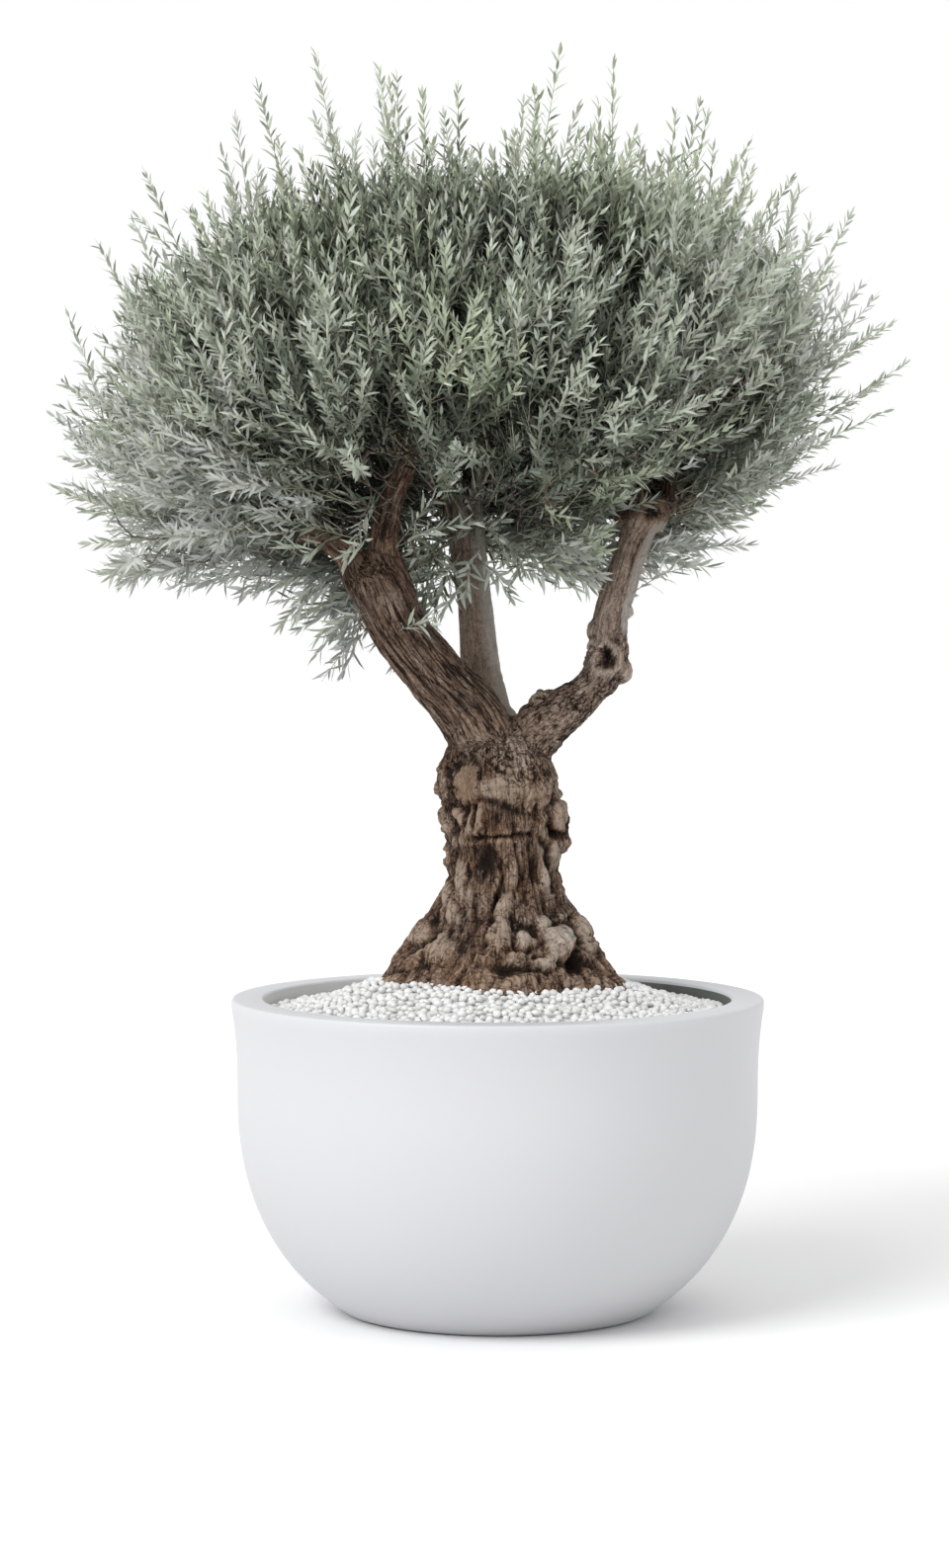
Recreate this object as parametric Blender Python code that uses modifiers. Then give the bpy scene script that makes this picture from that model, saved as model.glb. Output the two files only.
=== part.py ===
"""Potted olive tree: an old, gnarled trunk with three boughs and a dense domed crown, in a wide bowl pot.

Metres, +Z up. The origin is the centre of the pot's flat underside, and -Y is the front of the tree.
"""

import itertools
import math
import random

import bmesh
import bpy
import numpy as np
from mathutils import Matrix, Vector
from mathutils.bvhtree import BVHTree

GAP = 0.0003  # between solids that touch
ROUND = 48  # sides of the pot and of what fills it

# The pot: a bowl that turns into an upright wall with a wide flat rim
POT_HEIGHT = 0.71
POT_WALL_RADIUS = 0.587
POT_RIM_RADIUS = 0.60
BOWL_TOP = 0.50  # height where the bowl turns upright
BOWL_DEPTH = 0.578
BOWL_POWER = 2.3
RIM_WIDTH = 0.073
RIM_FLARE_HEIGHT = 0.19
RIM_FLARE_POWER = 2.5
RIM_EDGE = 0.007
LIP_DEPTH = 0.10  # of the rim's inner face
WALL = 0.030
POT_RINGS = (0.66, 0.60, 0.45, 0.33, 0.24, 0.17, 0.11, 0.05, 0.0)  # heights of its outer side's corners
INSIDE_RINGS = 3
INSIDE_CROWDING = 1.4  # draws the inner side's corners down to its floor

# What fills it
SOIL_TOP = 0.66
PEBBLE_EDGE = 0.682  # height of the pebbles at the pot's wall
PEBBLE_MOUND = 0.752  # and round the trunk
PEBBLE_LUMP = 0.005
PEBBLE_SLOPE_POWER = 0.8
PEBBLE_SWAY = 0.006
PEBBLE_RINGS = 5
PEBBLE_GAP = 0.006  # to the trunk

# The trunk
TRUNK_SIDES = 24
TRUNK_RINGS = 17
TRUNK_FOOT = SOIL_TOP + GAP
TRUNK_TOP = 1.30
TRUNK_SHOULDER = 1.19
SHOULDER_FALL = 0.75  # turn of the shoulder's arc, in radians
TRUNK_SWAY = 0.010
WAIST_RADIUS = 0.124
FLARE_REACH = 0.152
FLARE_CENTRE = 0.70
FLARE_HEIGHT = 0.15
ROOTS = 5
ROOT_DEPTH = 0.16
ROOT_OVAL = 0.25  # of the roots' depth, how much wider the flare is than deep
# Swellings of the old wood: angle from +X in degrees, height, size and bulge
BURLS = (
    (-18, 1.105, 0.050, 0.030),
    (-82, 1.170, 0.085, 0.020),
    (178, 1.235, 0.085, 0.016),
    (183, 0.865, 0.055, 0.026),
    (-4, 0.860, 0.060, 0.030),
    (-58, 0.825, 0.060, 0.030),
    (-98, 0.800, 0.050, 0.020),
    (128, 1.130, 0.070, 0.022),
    (62, 0.940, 0.080, 0.024),
)

# The boughs: points along each centreline with the radius there. "seams" are the points where one solid
# ends and the next begins, and the first stretch of each belongs to the trunk.
BOUGHS = {
    "left": {
        "points": (
            (0.005, 0.000, 1.220, 0.088),
            (-0.064, -0.010, 1.350, 0.074),
            (-0.141, -0.025, 1.438, 0.067),
            (-0.218, -0.045, 1.535, 0.064),
            (-0.272, -0.060, 1.650, 0.068),
        ),
        "seams": {2: "bough_left"},
    },
    "rear": {
        "points": (
            (-0.010, 0.030, 1.220, 0.060),
            (-0.018, 0.085, 1.350, 0.049),
            (-0.038, 0.120, 1.450, 0.045),
            (-0.050, 0.150, 1.590, 0.040),
            (-0.070, 0.185, 1.745, 0.042),
        ),
        "seams": {2: "bough_rear"},
    },
    "right": {
        "points": (
            (0.000, 0.000, 1.210, 0.075),
            (0.096, 0.000, 1.318, 0.062),
            (0.146, 0.000, 1.356, 0.054),
            (0.205, 0.005, 1.403, 0.043),
            (0.246, 0.005, 1.458, 0.050),
            (0.253, 0.000, 1.556, 0.041),
            (0.285, -0.010, 1.675, 0.037),
            (0.318, -0.010, 1.765, 0.038),
            (0.326, -0.010, 1.806, 0.062),
        ),
        "seams": {2: "bough_right_lower", 4: "bough_right_upper"},
    },
}
# The two limbs that the left bough forks into
LEFT_LIMBS = {
    "limb_left_inner": (
        (-0.252, -0.078, 1.765, 0.030),
        (-0.232, -0.080, 1.840, 0.028),
        (-0.205, -0.070, 1.920, 0.032),
    ),
    "limb_left_outer": (
        (-0.335, -0.060, 1.710, 0.029),
        (-0.385, -0.050, 1.745, 0.028),
        (-0.430, -0.045, 1.765, 0.032),
    ),
}
LEFT_LIMB_RADIUS = 0.032
LEFT_LIMB_INSET = 0.0015
LEFT_LIMB_LEAD = 0.03  # how far they run straight on from the bough
BOUGH_STEPS = 3  # path steps between two of the points above
BOUGH_RESOLUTION = 4  # gives 12 sides
SEAM_LEAD = 0.008

# The crown: how far it reaches from its centre, with a lower edge that hangs unevenly
CROWN_CENTRE = Vector((-0.055, 0.02, 2.08))
CROWN_WIDE = 0.985
CROWN_DEEP = 0.92
CROWN_UP = 0.80
DROOP = {"left": 0.69, "right": 0.54, "front": 0.29, "back": 0.48}
DROOP_POWER = {"left": 2.5, "right": 1.8, "front": 2.0, "back": 2.0}
CROWN_HOLLOW = 0.36  # share of the reach that stays bare inside
STEEP = 0.02  # lean of the line along which a tier's height is measured

# The masses of foliage, in tiers: how many, how high above or below the crown's centre as a share of its
# reach there, how far out, the angle of the first, the share of the reach that their cores keep within, and
# how many twigs each has
TIERS = {
    "low": {"count": 7, "rise": -0.48, "out": 0.62, "turn": -64, "core": 0.80, "twigs": 10},
    "mid": {"count": 7, "rise": 0.14, "out": 0.70, "turn": -90, "core": 0.86, "twigs": 9},
    "top": {"count": 4, "rise": 0.58, "out": 0.36, "turn": -80, "core": 0.86, "twigs": 9},
}
BRANCH_RADIUS = 0.012
BRANCH_TIP_RADIUS = 0.009
BRANCH_STEPS = 4
BRANCH_RISE = 0.10  # how far a branch first follows its bough's line at least
BRANCH_RISE_SHARE = 0.3  # and as a share of its span
BRANCH_SWING = 0.3
BRANCHES_PER_BOUGH = 5
RING_TURNS = 12
RING_INSET = 0.002
RING_SPARE = 0.001
CORE_RADIUS = 0.13  # of a mass's core where its stem comes in
CORE_FILL = 0.92  # share of the space that the core fills elsewhere
CORE_LUMP = 0.12
CORE_LEAST = 0.05
CORE_SUBDIVISIONS = 2
CORE_SHRINKS = 8
CORE_SHRINK = 0.9
STEM_SIDE = 0.35  # cosine of the angle within which a core counts as beside its stem
# where each face of a core is checked against the limbs, as shares of its corners
FACE_SPOTS = (
    (1 / 3, 1 / 3), (0.6, 0.2), (0.2, 0.6), (0.2, 0.2), (0.5, 0.5), (0.5, 0), (0, 0.5), (1, 0), (0, 1),
)
STEM_LENGTH = 0.03  # of a mass's stem outside its core
STEM_SUNK = 0.6  # share of the core's radius that the stem runs on inside
STEM_RADII = (0.95, 0.7)  # at its ends, as shares of its branch's
LEAF_LENGTH = 0.160
LEAF_WIDTH = 0.040
LEAF_THICKNESS = 0.005
LEAF_WIDEST = 0.42
LEAF_SAMPLES = 12
LEAF_SUNK = 0.006
LEAF_SIZES = (0.8, 1.05)  # of the side leaves, as shares of the length
TIP_LEAF_SHARE = 0.6  # the most of a twig's length that its tip leaf takes
LEAF_TRIES = 4
TWIG_RADIUS = 0.0085
TWIG_TIP_SHARE = 0.55
TWIG_SUNK = 0.7  # share of the core's reach where a twig starts, inside it
TWIG_CLEAR = 0.97  # and where its free length is counted from
TWIG_STEP = 0.01
TWIG_LEAST = 0.05
LEAF_PLACES = (0.45, 0.88)  # along the part of a twig that stands out of the core
LEAF_SPREAD = 0.75  # how far a leaf leans out of its twig's line
SPREAD_EDGE = -0.30  # cosine of the angle to the crown's outward line at which twigs end
UPWARD_PULL = 0.12
ASTRAY = 0.15
LONG_SHOOTS = 3  # every so many twigs, one runs to the crown's full reach
SHORT_REACH = (0.90, 0.97)
GOLDEN_ANGLE = math.pi * (3 - math.sqrt(5))
SPACE_MARGIN = 0.004
SEED = 21

WOOD = ("olive_bark", (0.235, 0.165, 0.125), 0.9)
BRANCH_WOOD = ("branch_bark", (0.19, 0.16, 0.13), 0.85)
LEAVES = ("olive_leaf", (0.20, 0.25, 0.19), 0.6)
POT_FINISH = ("white_pot", (0.82, 0.82, 0.83), 0.45)
SOIL_FINISH = ("potting_soil", (0.09, 0.065, 0.05), 0.95)
PEBBLE_FINISH = ("white_pebble", (0.78, 0.78, 0.76), 0.6)


def clear_scene():
    for obj in list(bpy.data.objects):
        bpy.data.objects.remove(obj)


def material(name, colour, roughness):
    made = bpy.data.materials.get(name)
    if made is None:
        made = bpy.data.materials.new(name)
        made.use_nodes = True
        shader = made.node_tree.nodes["Principled BSDF"]
        shader.inputs["Base Color"].default_value = (*colour, 1.0)
        shader.inputs["Roughness"].default_value = roughness
        shader.inputs["Metallic"].default_value = 0.0
    return made


def add_object(name, data, finish):
    obj = bpy.data.objects.new(name, data)
    tree.objects.link(obj)
    data.materials.append(material(*finish))
    return obj


def mesh_from(bm, name):
    data = bpy.data.meshes.new(name)
    bm.to_mesh(data)
    bm.free()
    return data


def turned(name, profile, finish):
    """A solid of revolution. The profile runs from the axis, over the top and down the outside to the axis."""
    data = bpy.data.meshes.new(name)
    edges = [(i, i + 1) for i in range(len(profile) - 1)]
    data.from_pydata([(r, 0, z) for r, z in profile], edges, [])
    obj = add_object(name, data, finish)
    screw = obj.modifiers.new("Turn", "SCREW")
    screw.steps = screw.render_steps = ROUND
    screw.use_merge_vertices = True
    screw.merge_threshold = 0.00001
    return obj


def pot_radius(height):
    """Outer radius of the pot at a height."""
    if height < BOWL_TOP:
        share = ((BOWL_TOP - height) / BOWL_DEPTH) ** BOWL_POWER
        return POT_WALL_RADIUS * (1 - share) ** (1 / BOWL_POWER)
    flare = min(1.0, (height - BOWL_TOP) / RIM_FLARE_HEIGHT) ** RIM_FLARE_POWER
    return POT_WALL_RADIUS + (POT_RIM_RADIUS - POT_WALL_RADIUS) * flare


def pot_inside(floor_height):
    """The inner side of the pot from its floor's edge up to under the rim."""
    top = POT_HEIGHT - LIP_DEPTH
    below_lip = top - (RIM_WIDTH - WALL)
    shares = [(i / INSIDE_RINGS) ** INSIDE_CROWDING for i in range(INSIDE_RINGS + 1)]
    heights = [floor_height + (below_lip - floor_height) * share for share in shares]
    side = [(pot_radius(z) - WALL, z) for z in heights]
    return side + [(POT_RIM_RADIUS - RIM_WIDTH, top)]


def build_pot():
    lip = POT_RIM_RADIUS - RIM_WIDTH
    turns = [math.radians(a) for a in (0, 45, 90)]
    rounds = [(RIM_EDGE * (1 - math.cos(a)), RIM_EDGE * (1 - math.sin(a))) for a in turns]
    inner_edge = [(lip + low, POT_HEIGHT - high) for low, high in rounds]
    outer_edge = [(POT_RIM_RADIUS - high, POT_HEIGHT - low) for low, high in rounds]
    side = [(pot_radius(z), z) for z in POT_RINGS]
    profile = [(0, WALL), *pot_inside(WALL), *inner_edge, *outer_edge, *side, (0, 0)]
    return turned("pot", profile, POT_FINISH)


def build_soil():
    floor = WALL + GAP
    fill_radius = POT_RIM_RADIUS - RIM_WIDTH - GAP
    side = [(r - 2 * GAP, z) for r, z in reversed(pot_inside(floor))]
    profile = [(0, SOIL_TOP), (fill_radius, SOIL_TOP), *side, (0, floor)]
    return turned("soil", profile, SOIL_FINISH)


def turn_to(angle, radius, height, centre=0.0):
    return Vector((centre + radius * math.cos(angle), radius * math.sin(angle), height))


def trunk_centre(height):
    """The trunk sways to the right and back as it rises."""
    rise = (height - TRUNK_FOOT) / (TRUNK_TOP - TRUNK_FOOT)
    return TRUNK_SWAY * math.sin(math.pi * rise)


def trunk_radius(angle, height):
    """Distance from the trunk's centreline to its bark: a waist, a root flare with lobes, and the burls."""
    above = max(0.0, height - FLARE_CENTRE) / FLARE_HEIGHT
    flare = FLARE_REACH * math.exp(-(above**2))
    lobes = 1 - ROOT_DEPTH * math.sin(ROOTS * angle) + ROOT_OVAL * ROOT_DEPTH * math.cos(2 * angle)
    radius = WAIST_RADIUS + flare * lobes
    for degrees, burl_height, size, bulge in BURLS:
        away = math.remainder(angle - math.radians(degrees), 2 * math.pi) * radius
        radius += bulge * math.exp(-(away**2 + (height - burl_height) ** 2) / size**2)
    if height > TRUNK_SHOULDER:
        radius *= math.cos(SHOULDER_FALL * (height - TRUNK_SHOULDER) / (TRUNK_TOP - TRUNK_SHOULDER))
    return radius


def side_angles(count):
    return [2 * math.pi * i / count for i in range(count)]


def lofted(rings, closed):
    """A mesh through rings of equal length. Each ring runs counter-clockwise as seen from above, from the
    lowest up. Closed joins the last ring to the first, as round a torus. Otherwise both ends are capped."""
    bm = bmesh.new()
    made = [[bm.verts.new(p) for p in ring] for ring in rings]
    pairs = list(zip(made, made[1:])) + ([(made[-1], made[0])] if closed else [])
    for low, high in pairs:
        for i in range(len(low)):
            j = (i + 1) % len(low)
            bm.faces.new((low[i], low[j], high[j], high[i]))
    if not closed:
        bm.faces.new(list(reversed(made[0])))
        bm.faces.new(made[-1])
    bmesh.ops.recalc_face_normals(bm, faces=bm.faces)
    return bm


def pebble_height(share, angle, rng):
    """Height of the pebbles' surface, share of the way from the trunk to the pot's wall."""
    fall = (PEBBLE_MOUND - PEBBLE_EDGE) * (0.5 + 0.5 * math.cos(math.pi * share**PEBBLE_SLOPE_POWER))
    sway = PEBBLE_SWAY * math.sin(2 * angle) * (1 - share)
    return PEBBLE_EDGE + fall + sway + rng.uniform(-1, 1) * PEBBLE_LUMP


def build_pebbles():
    """The layer of pebbles: a ring heaped up round the trunk, with the trunk's own outline as its hole."""
    rng = random.Random(SEED)
    wall_radius = POT_RIM_RADIUS - RIM_WIDTH - GAP
    bottom = SOIL_TOP + GAP
    angles = side_angles(TRUNK_SIDES)

    def trunk_side(angle, height):
        return turn_to(angle, trunk_radius(angle, height) + PEBBLE_GAP, height, trunk_centre(height))

    rings = [[trunk_side(a, bottom) for a in angles]]
    crest = [pebble_height(0, a, rng) for a in angles]
    rings.append([trunk_side(a, (bottom + z) / 2) for a, z in zip(angles, crest)])
    rings.append([trunk_side(a, z) for a, z in zip(angles, crest)])
    for k in range(1, PEBBLE_RINGS + 1):
        share = k / PEBBLE_RINGS
        ring = []
        for start, angle in zip(rings[2], angles):
            point = start.lerp(turn_to(angle, wall_radius, 0), share)
            ring.append(Vector((point.x, point.y, pebble_height(share, angle, rng))))
        rings.append(ring)
    rings.append([turn_to(a, wall_radius, bottom) for a in angles])
    return add_object("pebble_layer", mesh_from(lofted(rings, closed=True), "pebble_layer"), PEBBLE_FINISH)


def smooth_path(points, steps):
    """Catmull-Rom curve through points of (x, y, z, radius), as a list of (position, radius)."""
    knots = [np.array(p) for p in points]
    knots = [2 * knots[0] - knots[1], *knots, 2 * knots[-1] - knots[-2]]
    path = []
    for a, b, c, d in zip(knots, knots[1:], knots[2:], knots[3:]):
        for i in range(steps):
            t = i / steps
            bend = (2 * a - 5 * b + 4 * c - d) * t**2 + (3 * b - a - 3 * c + d) * t**3
            path.append(0.5 * (2 * b + (c - a) * t + bend))
    path.append(knots[-2])
    return [(Vector(p[:3]), float(p[3])) for p in path]


def stretch_of(path, first, last):
    """The part of a path between two seams. At a seam both neighbours run straight for a little way along the
    path's own direction, so their flat ends are parallel and half the gap short of it."""
    part = path[first : last + 1]

    def seam_end(k, onward):
        (before, _), (point, radius), (after, _) = path[k - 1 : k + 2]
        along = (after - before).normalized() * onward
        return [(point + along * GAP / 2, radius), (point + along * SEAM_LEAD, radius)]

    if first > 0:
        part[:1] = seam_end(first, 1)
    if last < len(path) - 1:
        part[-1:] = reversed(seam_end(last, -1))
    return part


def limb(name, path, resolution, finish):
    """One tapering limb: a bevelled curve with flat filled ends."""
    data = bpy.data.curves.new(name, "CURVE")
    data.dimensions = "3D"
    data.bevel_depth = 1.0
    data.bevel_resolution = resolution
    data.use_fill_caps = True
    spline = data.splines.new("POLY")
    spline.points.add(len(path) - 1)
    for knot, (point, radius) in zip(spline.points, path):
        knot.co = (*point, 1.0)
        knot.radius = radius
    limbs.append(list(path))
    return add_object(name, data, finish)


def as_mesh(obj):
    """The object as a closed mesh object of the same name, for a Boolean."""
    evaluated = obj.evaluated_get(bpy.context.evaluated_depsgraph_get())
    data = bpy.data.meshes.new_from_object(evaluated)
    bm = bmesh.new()
    bm.from_mesh(data)
    bmesh.ops.remove_doubles(bm, verts=bm.verts, dist=0.00001)
    bm.to_mesh(data)
    bm.free()
    name, place = obj.name, obj.matrix_world.copy()
    bpy.data.objects.remove(obj)
    made = bpy.data.objects.new(name, data)
    made.matrix_world = place
    tree.objects.link(made)
    return made


def joined(obj, parts, solver="EXACT"):
    """Fuses the parts into obj by one Boolean union, applies it and removes them."""
    group = bpy.data.collections.new(obj.name + "_parts")
    bpy.context.scene.collection.children.link(group)
    for part in parts:
        for owner in list(part.users_collection):
            owner.objects.unlink(part)
        group.objects.link(part)
    union = obj.modifiers.new("Fuse", "BOOLEAN")
    union.operation = "UNION"
    union.operand_type = "COLLECTION"
    union.collection = group
    union.solver = solver
    bpy.context.view_layer.update()
    evaluated = obj.evaluated_get(bpy.context.evaluated_depsgraph_get())
    data = bpy.data.meshes.new_from_object(evaluated)
    obj.modifiers.clear()
    obj.data = data
    for part in parts:
        bpy.data.objects.remove(part)
    bpy.data.collections.remove(group)
    return obj


def keep_one_body(obj):
    """Drops loose scraps and the walls of sealed hollows, which leaves the outer skin of the largest piece."""
    bm = bmesh.new()
    bm.from_mesh(obj.data)
    left = set(bm.verts)
    pieces = []
    while left:
        piece, edge = set(), [left.pop()]
        while edge:
            vert = edge.pop()
            piece.add(vert)
            near = {e.other_vert(vert) for e in vert.link_edges} & left
            left -= near
            edge.extend(near)
        pieces.append(piece)
    pieces.sort(key=len)
    for scrap in pieces[:-1]:
        bmesh.ops.delete(bm, geom=list(scrap), context="VERTS")
    bm.to_mesh(obj.data)
    bm.free()


def build_trunk_and_boughs():
    angles = side_angles(TRUNK_SIDES)
    heights = [TRUNK_FOOT + (TRUNK_TOP - TRUNK_FOOT) * i / (TRUNK_RINGS - 1) for i in range(TRUNK_RINGS)]
    rings = [[turn_to(a, trunk_radius(a, z), z, trunk_centre(z)) for a in angles] for z in heights]
    trunk = add_object("trunk", mesh_from(lofted(rings, closed=False), "trunk"), WOOD)
    limbs.append([(Vector((trunk_centre(z), 0, z)), trunk_radius(math.pi / 2, z)) for z in heights])
    stubs, tips = [], {}
    for side, bough in BOUGHS.items():
        path = smooth_path(bough["points"], BOUGH_STEPS)
        cuts = [0, *(k * BOUGH_STEPS for k in bough["seams"]), len(path) - 1]
        names = [side + "_stub", *bough["seams"].values()]
        for name, first, last in zip(names, cuts, cuts[1:]):
            made = limb(name, stretch_of(path, first, last), BOUGH_RESOLUTION, WOOD)
            if name.endswith("_stub"):
                stubs.append(as_mesh(made))
        tips[side] = path[-2:]
    joined(trunk, stubs)
    return tips


def tip_axis(tip):
    return (tip[1][0] - tip[0][0]).normalized()


def build_left_limbs(tip):
    """The left bough's fork: two limbs side by side on its flat end."""
    axis = tip_axis(tip)
    end, radius = tip[1]
    ends = {}
    for name, points in LEFT_LIMBS.items():
        aside = Vector(points[-1][:3]) - end
        aside = (aside - aside.dot(axis) * axis).normalized()
        start = end + aside * (radius - LEFT_LIMB_RADIUS - LEFT_LIMB_INSET) + axis * GAP
        lead = start + axis * LEFT_LIMB_LEAD
        path = smooth_path(((*start, LEFT_LIMB_RADIUS), (*lead, LEFT_LIMB_RADIUS), *points), 2)
        path[1] = (start + axis * LEFT_LIMB_LEAD / 2, LEFT_LIMB_RADIUS)
        limb(name, path, BOUGH_RESOLUTION, WOOD)
        ends[name] = path[-2:]
    return ends


def crown_reach(direction):
    """How far the crown reaches from its centre in a unit direction."""
    level = math.hypot(direction.x, direction.y) or 1e-9
    u, v = direction.x / level, direction.y / level
    if direction.z >= 0:
        high, power = CROWN_UP, 2.0
    else:
        side, end = ("left" if u < 0 else "right"), ("front" if v < 0 else "back")
        high = u * u * DROOP[side] + v * v * DROOP[end]
        power = u * u * DROOP_POWER[side] + v * v * DROOP_POWER[end]
    flat = math.hypot(direction.x / CROWN_WIDE, direction.y / CROWN_DEEP)
    return (flat**power + abs(direction.z / high) ** power) ** (-1 / power)


def crown_share(point):
    """0 at the crown's centre and 1 at its outline."""
    away = point - CROWN_CENTRE
    return away.length / crown_reach(away.normalized())


def mass_centres():
    centres = {}
    for tier, sizes in TIERS.items():
        for k in range(sizes["count"]):
            angle = math.radians(sizes["turn"]) + 2 * math.pi * k / sizes["count"]
            u, v = math.cos(angle), math.sin(angle)
            across = Vector((u * CROWN_WIDE, v * CROWN_DEEP, 0)) * sizes["out"]
            reach = crown_reach(Vector((u * STEEP, v * STEEP, sizes["rise"])).normalized())
            centres[f"{tier}_{k + 1}"] = CROWN_CENTRE + across + Vector((0, 0, sizes["rise"] * reach))
    return centres


def share_out(centres, tips):
    """Gives each mass to the nearest bough tip that has room, the closest pairs first."""
    ends = {bough: tip[1][0] for bough, tip in tips.items()}
    pairs = sorted(
        ((centre - end).length, name, bough) for name, centre in centres.items() for bough, end in ends.items()
    )
    fed = {bough: [] for bough in tips}
    done = set()
    for _, name, bough in pairs:
        if name not in done and len(fed[bough]) < BRANCHES_PER_BOUGH:
            fed[bough].append(name)
            done.add(name)
    return fed


def segments_of(paths):
    """Paths of (position, radius) as arrays: the starts, steps and radii of their segments."""
    pairs = [pair for path in paths for pair in zip(path, path[1:])]
    if not pairs:
        return np.full((1, 3), 9.0), np.ones((1, 3)), np.zeros(1)
    starts = np.array([a for (a, _), _ in pairs])
    steps = np.array([b - a for (a, _), (b, _) in pairs])
    return starts, steps, np.array([max(ra, rb) for (_, ra), (_, rb) in pairs])


def room_to_limbs(points, segments):
    """For each point, the distance to the nearest limb's surface."""
    starts, steps, radii = segments
    away = np.asarray(points)[:, None, :] - starts
    t = np.clip((away * steps).sum(2) / (steps**2).sum(1), 0, 1)
    return (np.linalg.norm(away - t[..., None] * steps, axis=2) - radii).min(1)


def branch_path(start, axis, centre, thick):
    """A branch that follows its bough's line, then swings over to its mass and stops short of the core."""
    lead = start + axis * SEAM_LEAD
    short = CORE_RADIUS + STEM_LENGTH + SEAM_LEAD
    span = (centre - lead).length
    rise = lead + axis * min(max(BRANCH_RISE, BRANCH_RISE_SHARE * span), (span - short) / 2)
    arrive = (centre - rise).normalized()
    last = centre - arrive * short
    swing = last - arrive * (last - rise).length * BRANCH_SWING
    tip_thick = min(thick, BRANCH_TIP_RADIUS)
    path = [(start, thick)]
    for i in range(BRANCH_STEPS + 1):
        t = i / BRANCH_STEPS
        point = lead * (1 - t) ** 3 + rise * 3 * t * (1 - t) ** 2 + swing * 3 * t**2 * (1 - t) + last * t**3
        path.append((point, thick + (tip_thick - thick) * t))
    return [*path, (last + arrive * SEAM_LEAD, tip_thick)]


def spare_room(paths, end, near):
    """The least room between these branches and every other limb. Against other limbs it counts only what lies
    further than near from the end they all start on."""
    least = 1.0
    for k, path in enumerate(paths):
        others = segments_of([p[1:] for i, p in enumerate(paths) if i != k])
        pairs = zip(path[1:], path[2:])
        points = [point.lerp(following, t) for (point, _), (following, _) in pairs for t in (0.5, 1)]
        far = [point for point in points if (point - end).length > near]
        least = min(least, float(room_to_limbs(points, others).min()) - path[0][1])
        if far:
            least = min(least, float(room_to_limbs(far, segments_of(limbs)).min()) - path[0][1])
    return least


def build_branches(centres, tips):
    """From each bough's flat tip, a ring of branches that each run to one mass, in the order and the turn
    that keep them furthest apart. Returns where each mass starts, its heading and its radius."""
    entries = {}
    for bough, names in share_out(centres, tips).items():
        axis = tip_axis(tips[bough])
        end, tip_radius = tips[bough][1]
        side = axis.orthogonal().normalized()
        other = axis.cross(side)
        ring = tip_radius - BRANCH_RADIUS - RING_INSET
        thick = min(BRANCH_RADIUS, ring * math.sin(math.pi / len(names)) - RING_SPARE)
        best, chosen = -1.0, {}
        for order in itertools.permutations(names[1:]):
            for turn in side_angles(RING_TURNS):
                paths = {}
                for k, name in enumerate((names[0], *order)):
                    angle = turn + 2 * math.pi * k / len(names)
                    start = end + (side * math.cos(angle) + other * math.sin(angle)) * ring + axis * GAP
                    paths[name] = branch_path(start, axis, centres[name], thick)
                room = spare_room(list(paths.values()), end, 2 * tip_radius)
                if room > best:
                    best, chosen = room, paths
        for name in names:
            limb(f"branch_{name}", chosen[name], 1, BRANCH_WOOD)
            last, radius = chosen[name][-1]
            entries[name] = (last, (last - chosen[name][-2][0]).normalized(), radius)
    return entries


class Space:
    """The room that one mass keeps to: inside the crown's outline, nearer its own centre than any other mass's,
    and clear of every limb."""

    def __init__(self, name, centres, segments):
        self.centre = centres[name]
        others = [centre for other, centre in centres.items() if other != name]
        self.midway = np.array([(self.centre + other) / 2 for other in others])
        self.towards = np.array([(other - self.centre).normalized() for other in others])
        self.segments = segments

    def room_to_others(self, points):
        """The least distance from the points to the planes midway to the other masses."""
        away = (self.midway - np.asarray(points)[:, None, :]) * self.towards
        return float(away.sum(2).min())

    def holds(self, points, reach=1.0, margin=SPACE_MARGIN):
        if self.room_to_others(points) < margin or room_to_limbs(points, self.segments).min() < margin:
            return False
        return all(CROWN_HOLLOW < crown_share(Vector(point)) < reach for point in points)

    def run(self, start, direction, reach):
        """How far a twig can run from start before it leaves the space."""
        length = 0.0
        while self.holds([start + direction * (length + TWIG_STEP)], reach, SPACE_MARGIN + TWIG_RADIUS):
            length += TWIG_STEP
        return length


def spread_directions(axis, count, rng):
    """The axis, then unit directions spread evenly over the side of a sphere that faces it, a little astray."""
    yield axis
    for k in range(1, count):
        z = 1 + (SPREAD_EDGE - 1) * k / (count - 1)
        r = math.sqrt(1 - z * z)
        way = Vector((r * math.cos(k * GOLDEN_ANGLE), r * math.sin(k * GOLDEN_ANGLE), z))
        astray = Vector([rng.uniform(-ASTRAY, ASTRAY) for _ in range(3)])
        yield (aimed(axis).to_3x3() @ (way + astray) + Vector((0, 0, UPWARD_PULL))).normalized()


def aimed(direction, roll=0.0):
    """Rotation that turns +Z to the direction, after a roll about it."""
    return direction.to_track_quat("Z", "Y").to_matrix().to_4x4() @ Matrix.Rotation(roll, 4, "Z")


def piece(data, place):
    obj = bpy.data.objects.new("piece", data)
    obj.matrix_world = place
    tree.objects.link(obj)
    return obj


def unit_leaf():
    """A leaf of 8 faces, one unit long along +Z from its root, widest before its middle."""
    bm = bmesh.new()
    bmesh.ops.create_uvsphere(bm, u_segments=4, v_segments=2, radius=0.5)
    for vert in bm.verts:
        at_middle = abs(vert.co.z) < 0.1
        vert.co.z = LEAF_WIDEST if at_middle else vert.co.z + 0.5
        vert.co.x *= LEAF_WIDTH / LEAF_LENGTH
        vert.co.y *= LEAF_THICKNESS / LEAF_LENGTH
    return mesh_from(bm, "leaf")


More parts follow.
